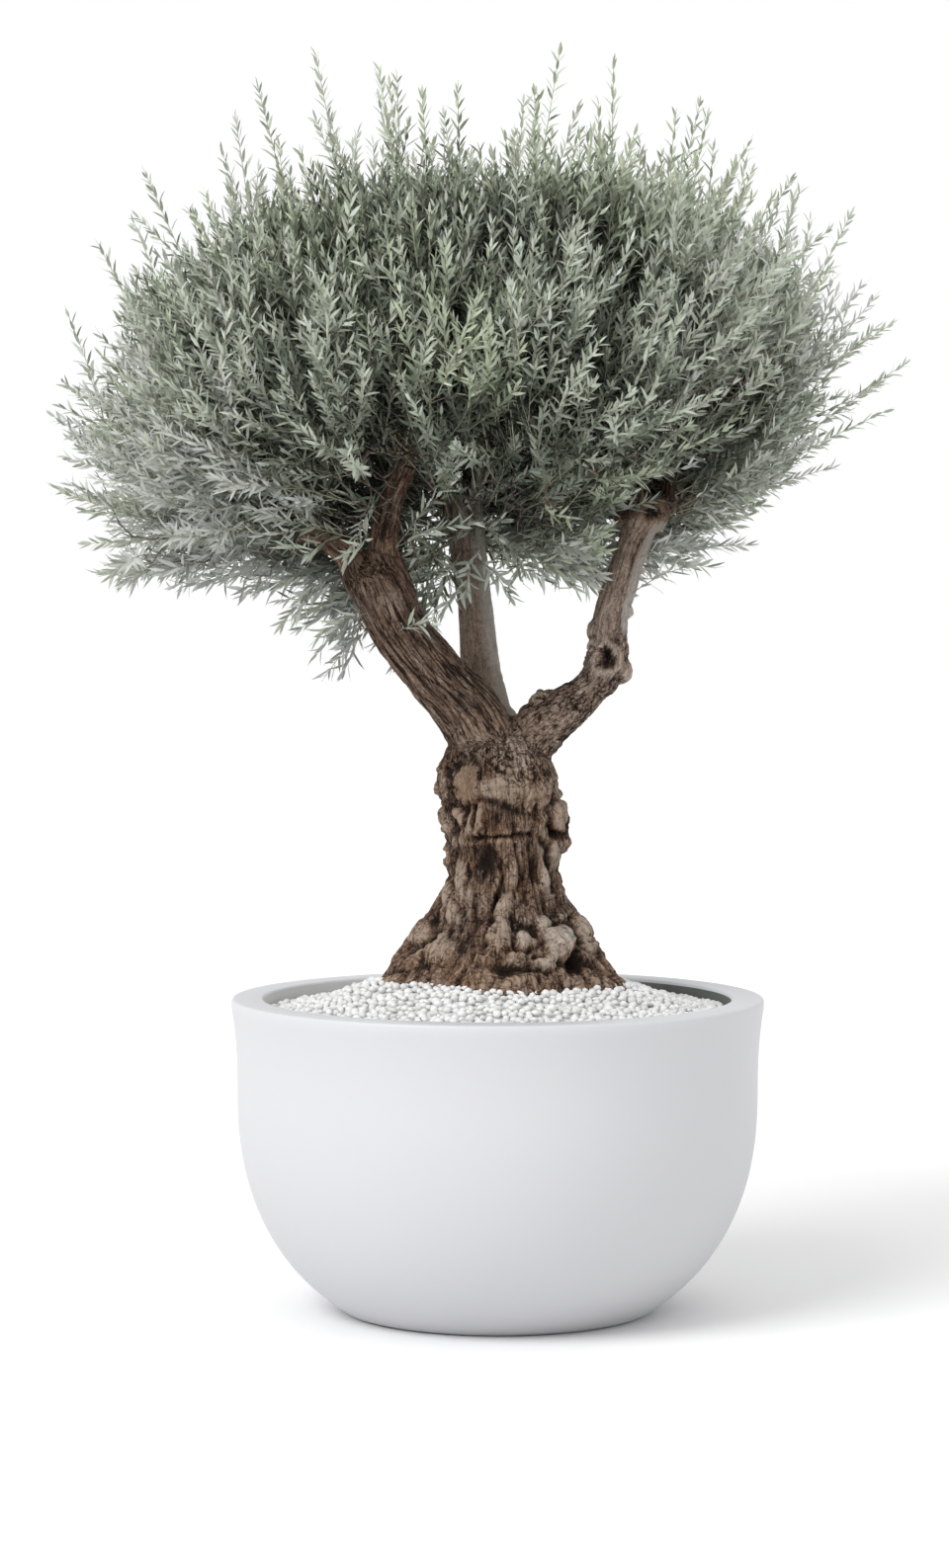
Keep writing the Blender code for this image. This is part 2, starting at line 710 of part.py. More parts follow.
def leaf_outline():
    """Points all over a unit leaf, its root aside, close enough that no limb fits between them."""
    points = []
    for k in range(1, LEAF_SAMPLES + 1):
        z = k / LEAF_SAMPLES
        share = z / LEAF_WIDEST if z < LEAF_WIDEST else (1 - z) / (1 - LEAF_WIDEST)
        half = 0.5 * LEAF_WIDTH / LEAF_LENGTH * share
        points += [(half * side, 0, z, 1) for side in (-1, -0.5, 0, 0.5, 1)]
    return np.array(points)


def three_sided(start, end, radius, tip_radius):
    """A three-sided twig from start to end."""
    bm = bmesh.new()
    along = end - start
    bmesh.ops.create_cone(bm, segments=3, cap_ends=True, radius1=radius, radius2=tip_radius, depth=along.length)
    return piece(mesh_from(bm, "twig"), Matrix.Translation((start + end) / 2) @ aimed(along.normalized()))


def core_of(space, stem_way, reach, rng):
    """The dense inside of a mass: a lumpy solid that fills most of its space, clear of the limbs. Beside the
    stem it stays small, so that the branch's tip is outside it."""
    bm = bmesh.new()
    bmesh.ops.create_icosphere(bm, subdivisions=CORE_SUBDIVISIONS, radius=1.0)
    for vert in bm.verts:
        way = vert.co.normalized()
        radius = CORE_FILL * space.run(space.centre, way, reach) * (1 - rng.uniform(0, CORE_LUMP))
        radius = max(CORE_LEAST, radius if way.dot(stem_way) < STEM_SIDE else min(radius, CORE_RADIUS))
        vert.co = space.centre + way * radius
    for _ in range(CORE_SHRINKS):
        near = set()
        for face in bm.faces:
            corners = [v.co for v in face.verts]
            spots = [corners[0] * a + corners[1] * b + corners[2] * (1 - a - b) for a, b in FACE_SPOTS]
            if room_to_limbs(spots, space.segments).min() < 2 * SPACE_MARGIN:
                near.update(face.verts)
        for vert in near:
            vert.co = space.centre.lerp(vert.co, CORE_SHRINK)
    return bm


def leaf_place(space, root, direction, spread, roll, size, outline, rng, reach):
    """The first place round the twig, turning on from roll, where a leaf keeps to the space, or None."""
    for turn in range(LEAF_TRIES):
        lean = aimed(direction, roll + turn * 2 * math.pi / LEAF_TRIES).to_3x3() @ Vector((0, spread, 1))
        turned_leaf = aimed(lean.normalized(), rng.uniform(0, math.pi))
        frame = Matrix.Translation(root) @ turned_leaf @ Matrix.Scale(size, 4)
        if space.holds((outline @ np.array(frame).T)[:, :3], reach):
            return frame
    return None


def build_mass(name, entry, space, leaf):
    """One mass of foliage: a stem into a core, twigs out of the core, and leaves out of each twig."""
    rng = random.Random(f"{SEED} {name}")
    start, heading, radius = entry
    start = start + heading * GAP
    sizes = TIERS[name.split("_")[0]]
    core = core_of(space, -heading, sizes["core"], rng)
    skin = BVHTree.FromBMesh(core)
    stem_end = start + heading * (STEM_LENGTH + CORE_RADIUS * STEM_SUNK)
    stem = three_sided(start, stem_end, *(radius * share for share in STEM_RADII))
    parts = [piece(mesh_from(core, "core"), Matrix())]
    outline = leaf_outline()
    outward = (space.centre - CROWN_CENTRE).normalized()
    for k, way in enumerate(spread_directions(outward, sizes["twigs"], rng)):
        surface = skin.ray_cast(space.centre + way, -way)[0]
        root = space.centre.lerp(surface, TWIG_SUNK)
        surface = space.centre.lerp(surface, TWIG_CLEAR)
        reach = 1.0 if k % LONG_SHOOTS == 0 else rng.uniform(*SHORT_REACH)
        length = space.run(surface, way, reach)
        if length < TWIG_LEAST:
            continue
        tip_leaf = min(LEAF_LENGTH, length * TIP_LEAF_SHARE)
        end = surface + way * (length - tip_leaf)
        leaves = [(end - way * LEAF_SUNK, 0, tip_leaf)]
        for place in LEAF_PLACES:
            leaves.append((surface.lerp(end, place), LEAF_SPREAD, LEAF_LENGTH * rng.uniform(*LEAF_SIZES)))
        roll = rng.uniform(0, 2 * math.pi)
        frames = []
        for leaf_root, spread, size in leaves:
            roll += GOLDEN_ANGLE
            frames.append(leaf_place(space, leaf_root, way, spread, roll, size, outline, rng, reach))
        parts.append(three_sided(root, end, TWIG_RADIUS, TWIG_RADIUS * TWIG_TIP_SHARE))
        parts += [piece(leaf, frame) for frame in frames if frame]
    stem.name = f"foliage_{name}"
    joined(stem, parts, "MANIFOLD")
    keep_one_body(stem)
    stem.data.materials.clear()
    stem.data.materials.append(material(*LEAVES))


def main():
    build_pot()
    build_soil()
    build_pebbles()
    tips = build_trunk_and_boughs()
    tips.update(build_left_limbs(tips.pop("left")))
    centres = mass_centres()
    entries = build_branches(centres, tips)
    segments = segments_of(limbs)
    leaf = unit_leaf()
    for name in centres:
        build_mass(name, entries[name], Space(name, centres, segments), leaf)


clear_scene()
tree = bpy.data.collections.new("potted_olive_tree")
bpy.context.scene.collection.children.link(tree)
limbs = []
main()
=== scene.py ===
import math

import bmesh
import bpy
import numpy as np
from mathutils import Matrix, Vector, noise


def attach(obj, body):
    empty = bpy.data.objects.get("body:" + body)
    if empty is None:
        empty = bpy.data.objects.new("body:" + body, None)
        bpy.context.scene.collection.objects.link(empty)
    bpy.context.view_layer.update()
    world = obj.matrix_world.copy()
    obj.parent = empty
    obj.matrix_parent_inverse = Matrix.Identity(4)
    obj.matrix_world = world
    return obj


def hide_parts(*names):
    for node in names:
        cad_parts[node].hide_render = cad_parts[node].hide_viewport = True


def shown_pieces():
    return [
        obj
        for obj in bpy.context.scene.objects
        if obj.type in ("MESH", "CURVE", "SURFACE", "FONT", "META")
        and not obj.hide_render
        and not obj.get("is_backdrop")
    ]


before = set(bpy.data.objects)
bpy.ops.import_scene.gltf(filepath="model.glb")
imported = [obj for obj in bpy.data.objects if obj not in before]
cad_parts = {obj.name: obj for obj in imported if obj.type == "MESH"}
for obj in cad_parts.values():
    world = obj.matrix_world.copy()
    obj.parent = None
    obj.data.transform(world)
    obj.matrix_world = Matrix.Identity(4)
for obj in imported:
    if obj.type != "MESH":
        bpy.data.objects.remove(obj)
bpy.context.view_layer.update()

collection = bpy.context.scene.collection
goldenAngle = math.pi * (3 - math.sqrt(5))
up = np.array((0.0, 0.0, 1.0))


def unit(vectors):
    return vectors / np.maximum(np.linalg.norm(vectors, axis=-1, keepdims=True), 1e-9)


def lineNoise(where, scales):
    return np.array([noise.noise(p) for p in (where * scales).tolist()])


def eased(values, start, stretch):
    # rises evenly from 0 at the start to 1 at the stretch's end
    return np.clip((values - start) / stretch, 0, 1)


def ringWalls(starts, sides):
    # quads between each ring of points that begins at one of the starts and the ring after it
    here = np.arange(sides)
    after = (here + 1) % sides
    start = np.ravel(starts)[:, None]
    corners = (start + here, start + after, start + sides + after, start + sides + here)
    return np.stack(corners, -1).reshape(-1, 4)


def meshPiece(name, points, faces, materials, smooth=True, materialIndex=None):
    # faces is one array of triangles or quads, or a list of such arrays
    groups = faces if isinstance(faces, list) else [faces]
    corners = np.concatenate([np.asarray(group).ravel() for group in groups])
    sizes = np.concatenate([np.full(len(group), np.asarray(group).shape[1]) for group in groups])
    data = bpy.data.meshes.new(name)
    data.vertices.add(len(points))
    data.vertices.foreach_set("co", np.asarray(points, np.float32).ravel())
    data.loops.add(len(corners))
    data.loops.foreach_set("vertex_index", corners.astype(np.int32))
    data.polygons.add(len(sizes))
    data.polygons.foreach_set("loop_start", (np.cumsum(sizes) - sizes).astype(np.int32))
    data.polygons.foreach_set("use_smooth", np.full(len(sizes), smooth))
    if materialIndex is not None:
        data.polygons.foreach_set("material_index", np.asarray(materialIndex, np.int32))
    data.update(calc_edges=True)
    for material in materials:
        data.materials.append(material)
    piece = bpy.data.objects.new(name, data)
    collection.objects.link(piece)
    return piece


def place(piece, slot, *nodes):
    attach(piece, "root")
    if nodes:
        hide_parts(*nodes)


def nodesNamed(*starts):
    return [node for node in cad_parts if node.startswith(starts)]


class Finish:
    # a node material with the few nodes that the finishes here are made of

    def __init__(self, name, roughness, specular=0.5):
        self.material = bpy.data.materials.new(name)
        self.material.use_nodes = True
        self.tree = self.material.node_tree
        self.shader = self.tree.nodes["Principled BSDF"]
        self.shader.inputs["Roughness"].default_value = roughness
        self.shader.inputs["Specular IOR Level"].default_value = specular
        self.where = self.node("ShaderNodeTexCoord").outputs["Object"]

    def node(self, kind, **inputs):
        made = self.tree.nodes.new(kind)
        for key, value in inputs.items():
            self.feed(made.inputs[key.replace("_", " ")], value)
        return made

    def feed(self, socket, value):
        if isinstance(value, bpy.types.NodeSocket):
            self.tree.links.new(value, socket)
        elif isinstance(value, tuple) and len(value) == 3 and socket.type == "RGBA":
            socket.default_value = (*value, 1.0)
        else:
            socket.default_value = value

    def speckle(self, scale, detail=4.0, roughness=0.55, distortion=0.0, where=None):
        made = self.node("ShaderNodeTexNoise", Vector=where or self.where, Scale=scale, Detail=detail,
                         Roughness=roughness, Distortion=distortion)
        return made.outputs["Fac"]

    def cellEdges(self, where):
        # how far each place lies from the border between two cells
        made = self.node("ShaderNodeTexVoronoi", Vector=where, Scale=1.0)
        made.feature = "DISTANCE_TO_EDGE"
        return made.outputs["Distance"]

    def warped(self, where, scale, amount):
        # a place pushed about by noise
        swirl = self.node("ShaderNodeTexNoise", Vector=where, Scale=scale, Detail=3.0).outputs["Color"]
        made = self.tree.nodes.new("ShaderNodeVectorMath")
        made.operation = "MULTIPLY_ADD"
        self.feed(made.inputs[0], swirl)
        made.inputs[1].default_value = (amount, amount, amount)
        self.feed(made.inputs[2], where)
        return made.outputs[0]

    def ramp(self, value, *stops):
        made = self.node("ShaderNodeValToRGB", Fac=value)
        band = made.color_ramp
        while len(band.elements) < len(stops):
            band.elements.new(0.5)
        for element, (position, colour) in zip(band.elements, stops):
            element.position = position
            element.color = (*colour, 1.0) if isinstance(colour, tuple) else (colour, colour, colour, 1.0)
        return made.outputs["Color"]

    def mixed(self, share, first, second):
        made = self.tree.nodes.new("ShaderNodeMix")
        made.data_type = "RGBA"
        self.feed(made.inputs[0], share)
        self.feed(made.inputs[6], first)
        self.feed(made.inputs[7], second)
        return made.outputs[2]

    def math(self, first, operation, second):
        made = self.tree.nodes.new("ShaderNodeMath")
        made.operation = operation
        self.feed(made.inputs[0], first)
        self.feed(made.inputs[1], second)
        return made.outputs[0]

    def attribute(self, name, output="Fac"):
        made = self.tree.nodes.new("ShaderNodeAttribute")
        made.attribute_name = name
        return made.outputs[output]

    def grain(self, scale):
        # the place along and across a limb, stretched
        where = self.attribute("grain", "Vector")
        return self.node("ShaderNodeMapping", Vector=where, Scale=scale).outputs[0]

    def centred(self, value):
        return self.math(value, "SUBTRACT", 0.5)

    def thinLines(self, noise, full, width):
        # lines where a noise crosses its middle
        return self.ramp(self.math(self.centred(noise), "ABSOLUTE", 0.0), (0.004, full), (width, 0.0))

    def heaped(self, value, parts, shares):
        # the value with its share of each part added
        for name, share in shares.items():
            value = self.math(self.math(parts[name], "MULTIPLY", share), "ADD", value)
        return value

    def bump(self, height, strength, distance):
        made = self.node("ShaderNodeBump", Height=height, Strength=strength, Distance=distance)
        self.feed(self.shader.inputs["Normal"], made.outputs[0])

    def colour(self, value):
        self.feed(self.shader.inputs["Base Color"], value)

    def roughness(self, value):
        self.feed(self.shader.inputs["Roughness"], value)


def speckledFinish(name, roughness, specular, noise, stops, bump=None):
    # a finish whose colour and relief follow one noise
    made = Finish(name, roughness, specular)
    value = made.speckle(*noise)
    made.colour(made.ramp(value, *stops))
    if bump:
        made.bump(value, *bump)
    return made.material


# Camera, floor and light
cameraView = {
    "location": (-0.052, -9.0, 1.645), "downTilt": 2.89, "lens": 91.85, "sensor": 36.0, "clipEnd": 200.0,
}
studio = {
    "world": 1.0, "sunPlace": (-4.6, -4.4, 5.6), "sunPower": 1.9, "sunAngle": 32.0,
    "floorHalf": 60.0, "floorColour": (0.84, 0.84, 0.84), "floorGrain": 0.995,
}


def makeStudio():
    camera = bpy.data.objects.new("photoCamera", bpy.data.cameras.new("photoCamera"))
    collection.objects.link(camera)
    camera.data.lens = cameraView["lens"]
    camera.data.sensor_width = cameraView["sensor"]
    camera.data.clip_end = cameraView["clipEnd"]
    camera.location = cameraView["location"]
    camera.rotation_euler = (math.radians(90.0 - cameraView["downTilt"]), 0.0, 0.0)
    bpy.context.scene.camera = camera

    world = bpy.data.worlds.new("softStudio")
    world.use_nodes = True
    world.node_tree.nodes["Background"].inputs["Color"].default_value = (1.0, 1.0, 1.0, 1.0)
    world.node_tree.nodes["Background"].inputs["Strength"].default_value = studio["world"]
    bpy.context.scene.world = world
    bpy.context.scene.view_settings.view_transform = "Standard"

    # a broad sun from the upper left, as from a large window
    sun = bpy.data.objects.new("windowLight", bpy.data.lights.new("windowLight", "SUN"))
    collection.objects.link(sun)
    sun.data.energy = studio["sunPower"]
    sun.data.angle = math.radians(studio["sunAngle"])
    sun.rotation_euler = (-Vector(studio["sunPlace"])).to_track_quat("-Z", "Y").to_euler()

    half = studio["floorHalf"]
    paper = Finish("paleFloor", 0.9, 0.1)
    grain = paper.speckle(30.0, 2.0)
    fleck = tuple(c * studio["floorGrain"] for c in studio["floorColour"])
    paper.colour(paper.mixed(grain, studio["floorColour"], fleck))
    corners = np.array([(-half, -half, 0), (half, -half, 0), (half, half, 0), (-half, half, 0)])
    floor = meshPiece("paperFloor", corners, np.array([(0, 1, 2, 3)]), [paper.material], smooth=False)
    floor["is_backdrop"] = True
    print("camera, floor and light set")


makeStudio()


# The tree's own lines, as the solids have them
trunkForm = {
    "foot": 0.6603, "top": 1.30, "shoulder": 1.19, "sway": 0.010, "waist": 0.124,
    "flareReach": 0.152, "flareCentre": 0.70, "flareHeight": 0.15, "roots": 5, "rootDepth": 0.16,
    # swellings: angle from +X in degrees, height, size and bulge
    "burls": (
        (-18, 1.105, 0.050, 0.030), (-82, 1.170, 0.085, 0.020), (178, 1.235, 0.085, 0.016),
        (183, 0.865, 0.055, 0.026), (-4, 0.860, 0.060, 0.030), (-58, 0.825, 0.060, 0.030),
        (-98, 0.800, 0.050, 0.020), (128, 1.130, 0.070, 0.022), (62, 0.940, 0.080, 0.024),
    ),
}
boughForm = {
    "steps": 3,
    "left": (
        (0.005, 0.000, 1.220, 0.088), (-0.064, -0.010, 1.350, 0.074), (-0.141, -0.025, 1.438, 0.067),
        (-0.218, -0.045, 1.535, 0.064), (-0.272, -0.060, 1.650, 0.068),
    ),
    "rear": (
        (-0.010, 0.030, 1.220, 0.060), (-0.018, 0.085, 1.350, 0.049), (-0.038, 0.120, 1.450, 0.045),
        (-0.050, 0.150, 1.590, 0.040), (-0.070, 0.185, 1.745, 0.042),
    ),
    "right": (
        (0.000, 0.000, 1.210, 0.075), (0.096, 0.000, 1.318, 0.062), (0.146, 0.000, 1.356, 0.054),
        (0.205, 0.005, 1.403, 0.043), (0.246, 0.005, 1.458, 0.050), (0.253, 0.000, 1.556, 0.041),
        (0.285, -0.010, 1.675, 0.037), (0.318, -0.010, 1.765, 0.038), (0.326, -0.010, 1.806, 0.062),
    ),
    # the two limbs that the left bough forks into
    "limbRadius": 0.032, "limbInset": 0.0015, "limbLead": 0.03,
    "inner": ((-0.252, -0.078, 1.765, 0.030), (-0.232, -0.080, 1.840, 0.028), (-0.205, -0.070, 1.920, 0.032)),
    "outer": ((-0.335, -0.060, 1.710, 0.029), (-0.385, -0.050, 1.745, 0.028), (-0.430, -0.045, 1.765, 0.032)),
}
branchForm = {
    "radius": 0.012, "tipRadius": 0.009, "ringInset": 0.002, "spareWidth": 0.001, "steps": 8, "sides": 8,
    "rise": 0.10, "riseShare": 0.3, "lead": 0.008, "core": 0.13, "stem": 0.03, "swing": 0.3,
    # for each bough tip: the turn of its ring in degrees and the masses that its branches run to
    "fans": {
        "rear": (60, ("low_4", "mid_5", "top_3", "top_2", "mid_4")),
        "right": (270, ("low_2", "mid_3", "low_3", "mid_2", "low_1")),
        "inner": (210, ("low_7", "mid_1", "top_1", "top_4", "mid_7")),
        "outer": (0, ("low_6", "mid_6", "low_5")),
    },
}
crownForm = {
    "centre": np.array((-0.055, 0.02, 2.08)), "wide": 0.985, "deep": 0.92, "up": 0.80,
    "droop": {"left": 0.69, "right": 0.54, "front": 0.29, "back": 0.48},
    "droopPower": {"left": 2.5, "right": 1.8, "front": 2.0, "back": 2.0},
    "tiers": {
        "low": {"count": 7, "rise": -0.48, "out": 0.62, "turn": -64},
        "mid": {"count": 7, "rise": 0.14, "out": 0.70, "turn": -90},
        "top": {"count": 4, "rise": 0.58, "out": 0.36, "turn": -80},
    },
    "twigSpreadEdge": -0.30, "astray": 0.15, "upwardPull": 0.12,
}


def trunkCentre(height):
    rise = (height - trunkForm["foot"]) / (trunkForm["top"] - trunkForm["foot"])
    return trunkForm["sway"] * np.sin(np.pi * rise)


def trunkRadius(angle, height):
    form = trunkForm
    above = np.maximum(0.0, height - form["flareCentre"]) / form["flareHeight"]
    flare = form["flareReach"] * np.exp(-(above**2))
    oval = 0.25 * form["rootDepth"] * np.cos(2 * angle)
    lobes = 1 - form["rootDepth"] * np.sin(form["roots"] * angle) + oval
    radius = form["waist"] + flare * lobes
    for degrees, burlHeight, size, bulge in form["burls"]:
        turn = np.remainder(angle - math.radians(degrees) + np.pi, 2 * np.pi) - np.pi
        radius = radius + bulge * np.exp(-((turn * radius) ** 2 + (height - burlHeight) ** 2) / size**2)
    past = np.clip((height - form["shoulder"]) / (form["top"] - form["shoulder"]), 0, 1)
    return radius * np.cos(0.75 * past)


def smoothPath(points, steps):
    # Catmull-Rom curve through points of x, y, z and radius
    knots = np.asarray(points, float)
    knots = np.vstack((2 * knots[0] - knots[1], knots, 2 * knots[-1] - knots[-2]))
    t = (np.arange(steps) / steps)[:, None]
    path = [
        0.5 * (2 * b + (c - a) * t + (2 * a - 5 * b + 4 * c - d) * t**2 + (3 * b - a - 3 * c + d) * t**3)
        for a, b, c, d in zip(knots, knots[1:], knots[2:], knots[3:])
    ]
    return np.vstack((*path, knots[-2]))


def limbLines():
    # every bough and limb as a fine path, and each bough tip's end, axis and radius
    lines, tips = {}, {}
    for side in ("left", "rear", "right"):
        coarse = smoothPath(boughForm[side], boughForm["steps"])
        lines[side] = smoothPath(boughForm[side], 3 * boughForm["steps"])
        tips[side] = (coarse[-1, :3], unit(coarse[-1, :3] - coarse[-2, :3]), coarse[-1, 3])
    end, axis, radius = tips.pop("left")
    for name in ("inner", "outer"):
        points = np.array(boughForm[name])
        aside = points[-1, :3] - end
        aside = unit(aside - aside.dot(axis) * axis)
        thick = boughForm["limbRadius"]
        start = end + aside * (radius - thick - boughForm["limbInset"])
        lead = start + axis * boughForm["limbLead"]
        path = smoothPath(((*start, thick), (*lead, thick), *points), 2)
        tips[name] = (path[-1, :3], unit(path[-1, :3] - path[-2, :3]), path[-1, 3])
        lines[name] = smoothPath(((*start, thick), (*lead, thick), *points), 6)
    return lines, tips


def massCentres():
    centres = {}
    for tier, sizes in crownForm["tiers"].items():
        for k in range(sizes["count"]):
            angle = math.radians(sizes["turn"]) + 2 * math.pi * k / sizes["count"]
            flat = np.array((math.cos(angle) * crownForm["wide"], math.sin(angle) * crownForm["deep"], 0.0))
            steep = np.array((math.cos(angle) * 0.02, math.sin(angle) * 0.02, sizes["rise"]))
            reach = crownReach(unit(steep[None]))[0]
            outward = crownForm["centre"] + flat * sizes["out"]
            centres[f"{tier}_{k + 1}"] = outward + up * sizes["rise"] * reach
    return centres


def crownReach(ways):
    # how far the crown reaches from its centre along unit vectors
    level = np.maximum(np.hypot(ways[:, 0], ways[:, 1]), 1e-9)
    u, v = ways[:, 0] / level, ways[:, 1] / level
    high = np.full(len(ways), crownForm["up"])
    power = np.full(len(ways), 2.0)
    below = ways[:, 2] < 0
    for values, target in ((crownForm["droop"], high), (crownForm["droopPower"], power)):
        across = np.where(u < 0, values["left"], values["right"])
        along = np.where(v < 0, values["front"], values["back"])
        target[below] = (u * u * across + v * v * along)[below]
    flat = np.hypot(ways[:, 0] / crownForm["wide"], ways[:, 1] / crownForm["deep"])
    return (flat**power + np.abs(ways[:, 2] / high) ** power) ** (-1 / power)


def crownShare(points):
    # 0 at the crown's centre and 1 at its outline
    away = points - crownForm["centre"]
    return np.linalg.norm(away, axis=1) / crownReach(unit(away))


def branchLines(tips, centres):
    # from each bough tip a ring of branches, each of which runs to its own mass and stops short of its middle
    form = branchForm
    lines, entries = {}, {}
    for bough, (turn, names) in form["fans"].items():
        end, axis, tipRadius = tips[bough]
        side = np.array(Vector(axis).orthogonal().normalized())
        other = np.cross(axis, side)
        ring = tipRadius - form["radius"] - form["ringInset"]
        thick = min(form["radius"], ring * math.sin(math.pi / len(names)) - form["spareWidth"])
        for k, name in enumerate(names):
            angle = math.radians(turn) + 2 * math.pi * k / len(names)
            start = end + (side * math.cos(angle) + other * math.sin(angle)) * ring
            lead = start + axis * form["lead"]
            short = form["core"] + form["stem"] + form["lead"]
            span = np.linalg.norm(centres[name] - lead)
            rise = lead + axis * min(max(form["rise"], form["riseShare"] * span), (span - short) / 2)
            arrive = unit(centres[name] - rise)
            last = centres[name] - arrive * short
            swing = last - arrive * np.linalg.norm(last - rise) * form["swing"]
            t = np.linspace(0, 1, form["steps"] + 1)[:, None]
            curve = lead * (1 - t) ** 3 + rise * 3 * t * (1 - t) ** 2
            curve = curve + swing * 3 * t**2 * (1 - t) + last * t**3
            radius = thick + (min(thick, form["tipRadius"]) - thick) * t
            lines[name] = np.vstack(((*start, thick), np.hstack((curve, radius))))
            entries[name] = (last, arrive)
    return lines, entries


limbs, boughTips = limbLines()
centres = massCentres()
branches, entries = branchLines(boughTips, centres)
massNames = list(centres)
massPoints = np.array([centres[name] for name in massNames])
print("limbs, branches and", len(centres), "masses laid out")


def tubes(paths, radii, sides):
    # one tube round each path; paths is (count, points, 3) and radii (count, points)
    ways = unit(np.gradient(paths, axis=1))
    lean = unit(np.array((0.31, 0.87, 0.12)))
    across = unit(np.cross(ways, lean))
    over = np.cross(ways, across)
    turn = 2 * np.pi * np.arange(sides) / sides
    rings = across[:, :, None] * np.cos(turn)[:, None] + over[:, :, None] * np.sin(turn)[:, None]
    points = paths[:, :, None] + rings * radii[:, :, None, None]
    count, steps = paths.shape[:2]
    starts = (np.arange(count * steps) * sides).reshape(count, steps)
    here = np.arange(sides)
    walls = ringWalls(starts[:, :-1], sides)
    return points.reshape(-1, 3), [walls, starts[:, :1] + here[::-1], starts[:, -1:] + here]


# Bark of the trunk and boughs: one skin fused over them, then worked in relief
barkForm = {
    "voxel": 0.0052, "smoothing": 4, "trunkSides": 90, "trunkRings": 90, "limbSides": 28,
    # how the branches and the left bough's limbs start: over what stretch they thicken, to what radius, and
    # how many steps back inside the wood
    "root": (0.16, 0.022, 2.0), "fork": (0.12, 0.044, 4.0), "rootSides": 16, "seed": 11,
    # where two limbs meet their barks blend; each limb's own pattern is shifted by this much
    "blend": 0.012, "blendReach": 0.03, "shift": 5.3,
    # heights where the bark changes, and over what stretch: the trunk's plates, the right bough's paler and
    # smoother stretch and its dark sawn head; and how far to the right the wood faces where it is painted
    # paler, as painted light along its right edge
    "platesFrom": (1.16, 0.06), "smoothFrom": (1.49, 0.08), "headFrom": (1.772, 0.025),
    "rimLitFrom": (0.48, 0.25),
    # painted light: how much paler the rear bough is painted as it turns to face right, and how much paler the
    # wood is where it faces right on the rear bough and on the right bough's upper stretch
    "footFurrows": 1.15, "platesSmoother": 0.6, "platesLeast": 0.12, "rearRightLit": 0.12, "rearRimLit": 0.70,
    "upperPaler": 0.32, "upperRimLit": 0.45, "headDarker": 1.3,
    # by how much the right bough's upper stretch is short of furrows, cracks and plates
    "upperSmoother": (0.5, 0.7, 0.75),
    # a knob's paleness, the deepest crack and relief, and how far from the limb's own surface the relief has
    # died out, as on a branch's root
    "knobPale": 0.86, "fullCrack": 0.003, "fullRelief": 0.018, "ochreMost": 0.58,
    "calm": 0.010, "calmLeast": 0.15,
    # how far the trunk's features stray from their places and how unevenly deep they are, each with its scale
    "stray": ((0.008, 24), (0.0045, 75)), "uneven": (0.9, 40),
    # from where and over what turn the features of the front and of the other sides show, and the height where
    # they end under the fork
    "frontShown": (0.05, 0.35), "sideShown": (0.55, 0.3), "featuresTop": 1.33, "featuresOver": 0.04,
    # what all kinds of bark share: how the grain wavers, widths of furrows and cracks in their noise, finer
    # furrows, the grit between the cracks, and lumps of two sizes
    "warp": (0.010, 0.010, 0.0), "warpScale": (14, 14, 9), "plateWarp": 0.6, "plateLong": 0.7,
    "furrowWidth": 0.13, "crackWidth": 0.13, "meanFurrow": 0.45,
    "finerShare": 0.45, "finerWidth": 0.15, "finerRound": 2.1, "finerAlong": 2.4,
    "gritShare": 0.6, "gritScale": (110, 110, 80), "lumpScale": (10, 10, 8),
    "lumpletShare": 0.5, "lumpletScale": (23, 23, 17),
    # the bark of each limb: depth of its furrows and how many a metre round and along it, depth of the cracks
    # between its plates and how many a metre, its lumps, how furrowed and how pale
    "kinds": {
        "trunk": {"furrow": 0.0070, "round": 30, "along": 8, "crack": 0.0030, "plates": 46, "lump": 0.0100,
                  "furrowed": 0.55, "pale": 0.10},
        "left": {"furrow": 0.0040, "round": 40, "along": 6, "crack": 0.0006, "plates": 60, "lump": 0.0040,
                 "furrowed": 1.0, "pale": 0.18},
        "rear": {"furrow": 0.0008, "round": 40, "along": 10, "crack": 0.0006, "plates": 40, "lump": 0.0025,
                 "furrowed": 0.20, "pale": 0.92},
        "right": {"furrow": 0.0028, "round": 44, "along": 14, "crack": 0.0026, "plates": 58, "lump": 0.0050,
                  "furrowed": 0.45, "pale": 0.60},
        "inner": {"furrow": 0.0020, "round": 50, "along": 10, "crack": 0.0008, "plates": 60, "lump": 0.0020,
                  "furrowed": 0.8, "pale": 0.10},
        "outer": {"furrow": 0.0020, "round": 50, "along": 10, "crack": 0.0008, "plates": 60, "lump": 0.0020,
                  "furrowed": 0.8, "pale": 0.15},
    },
}
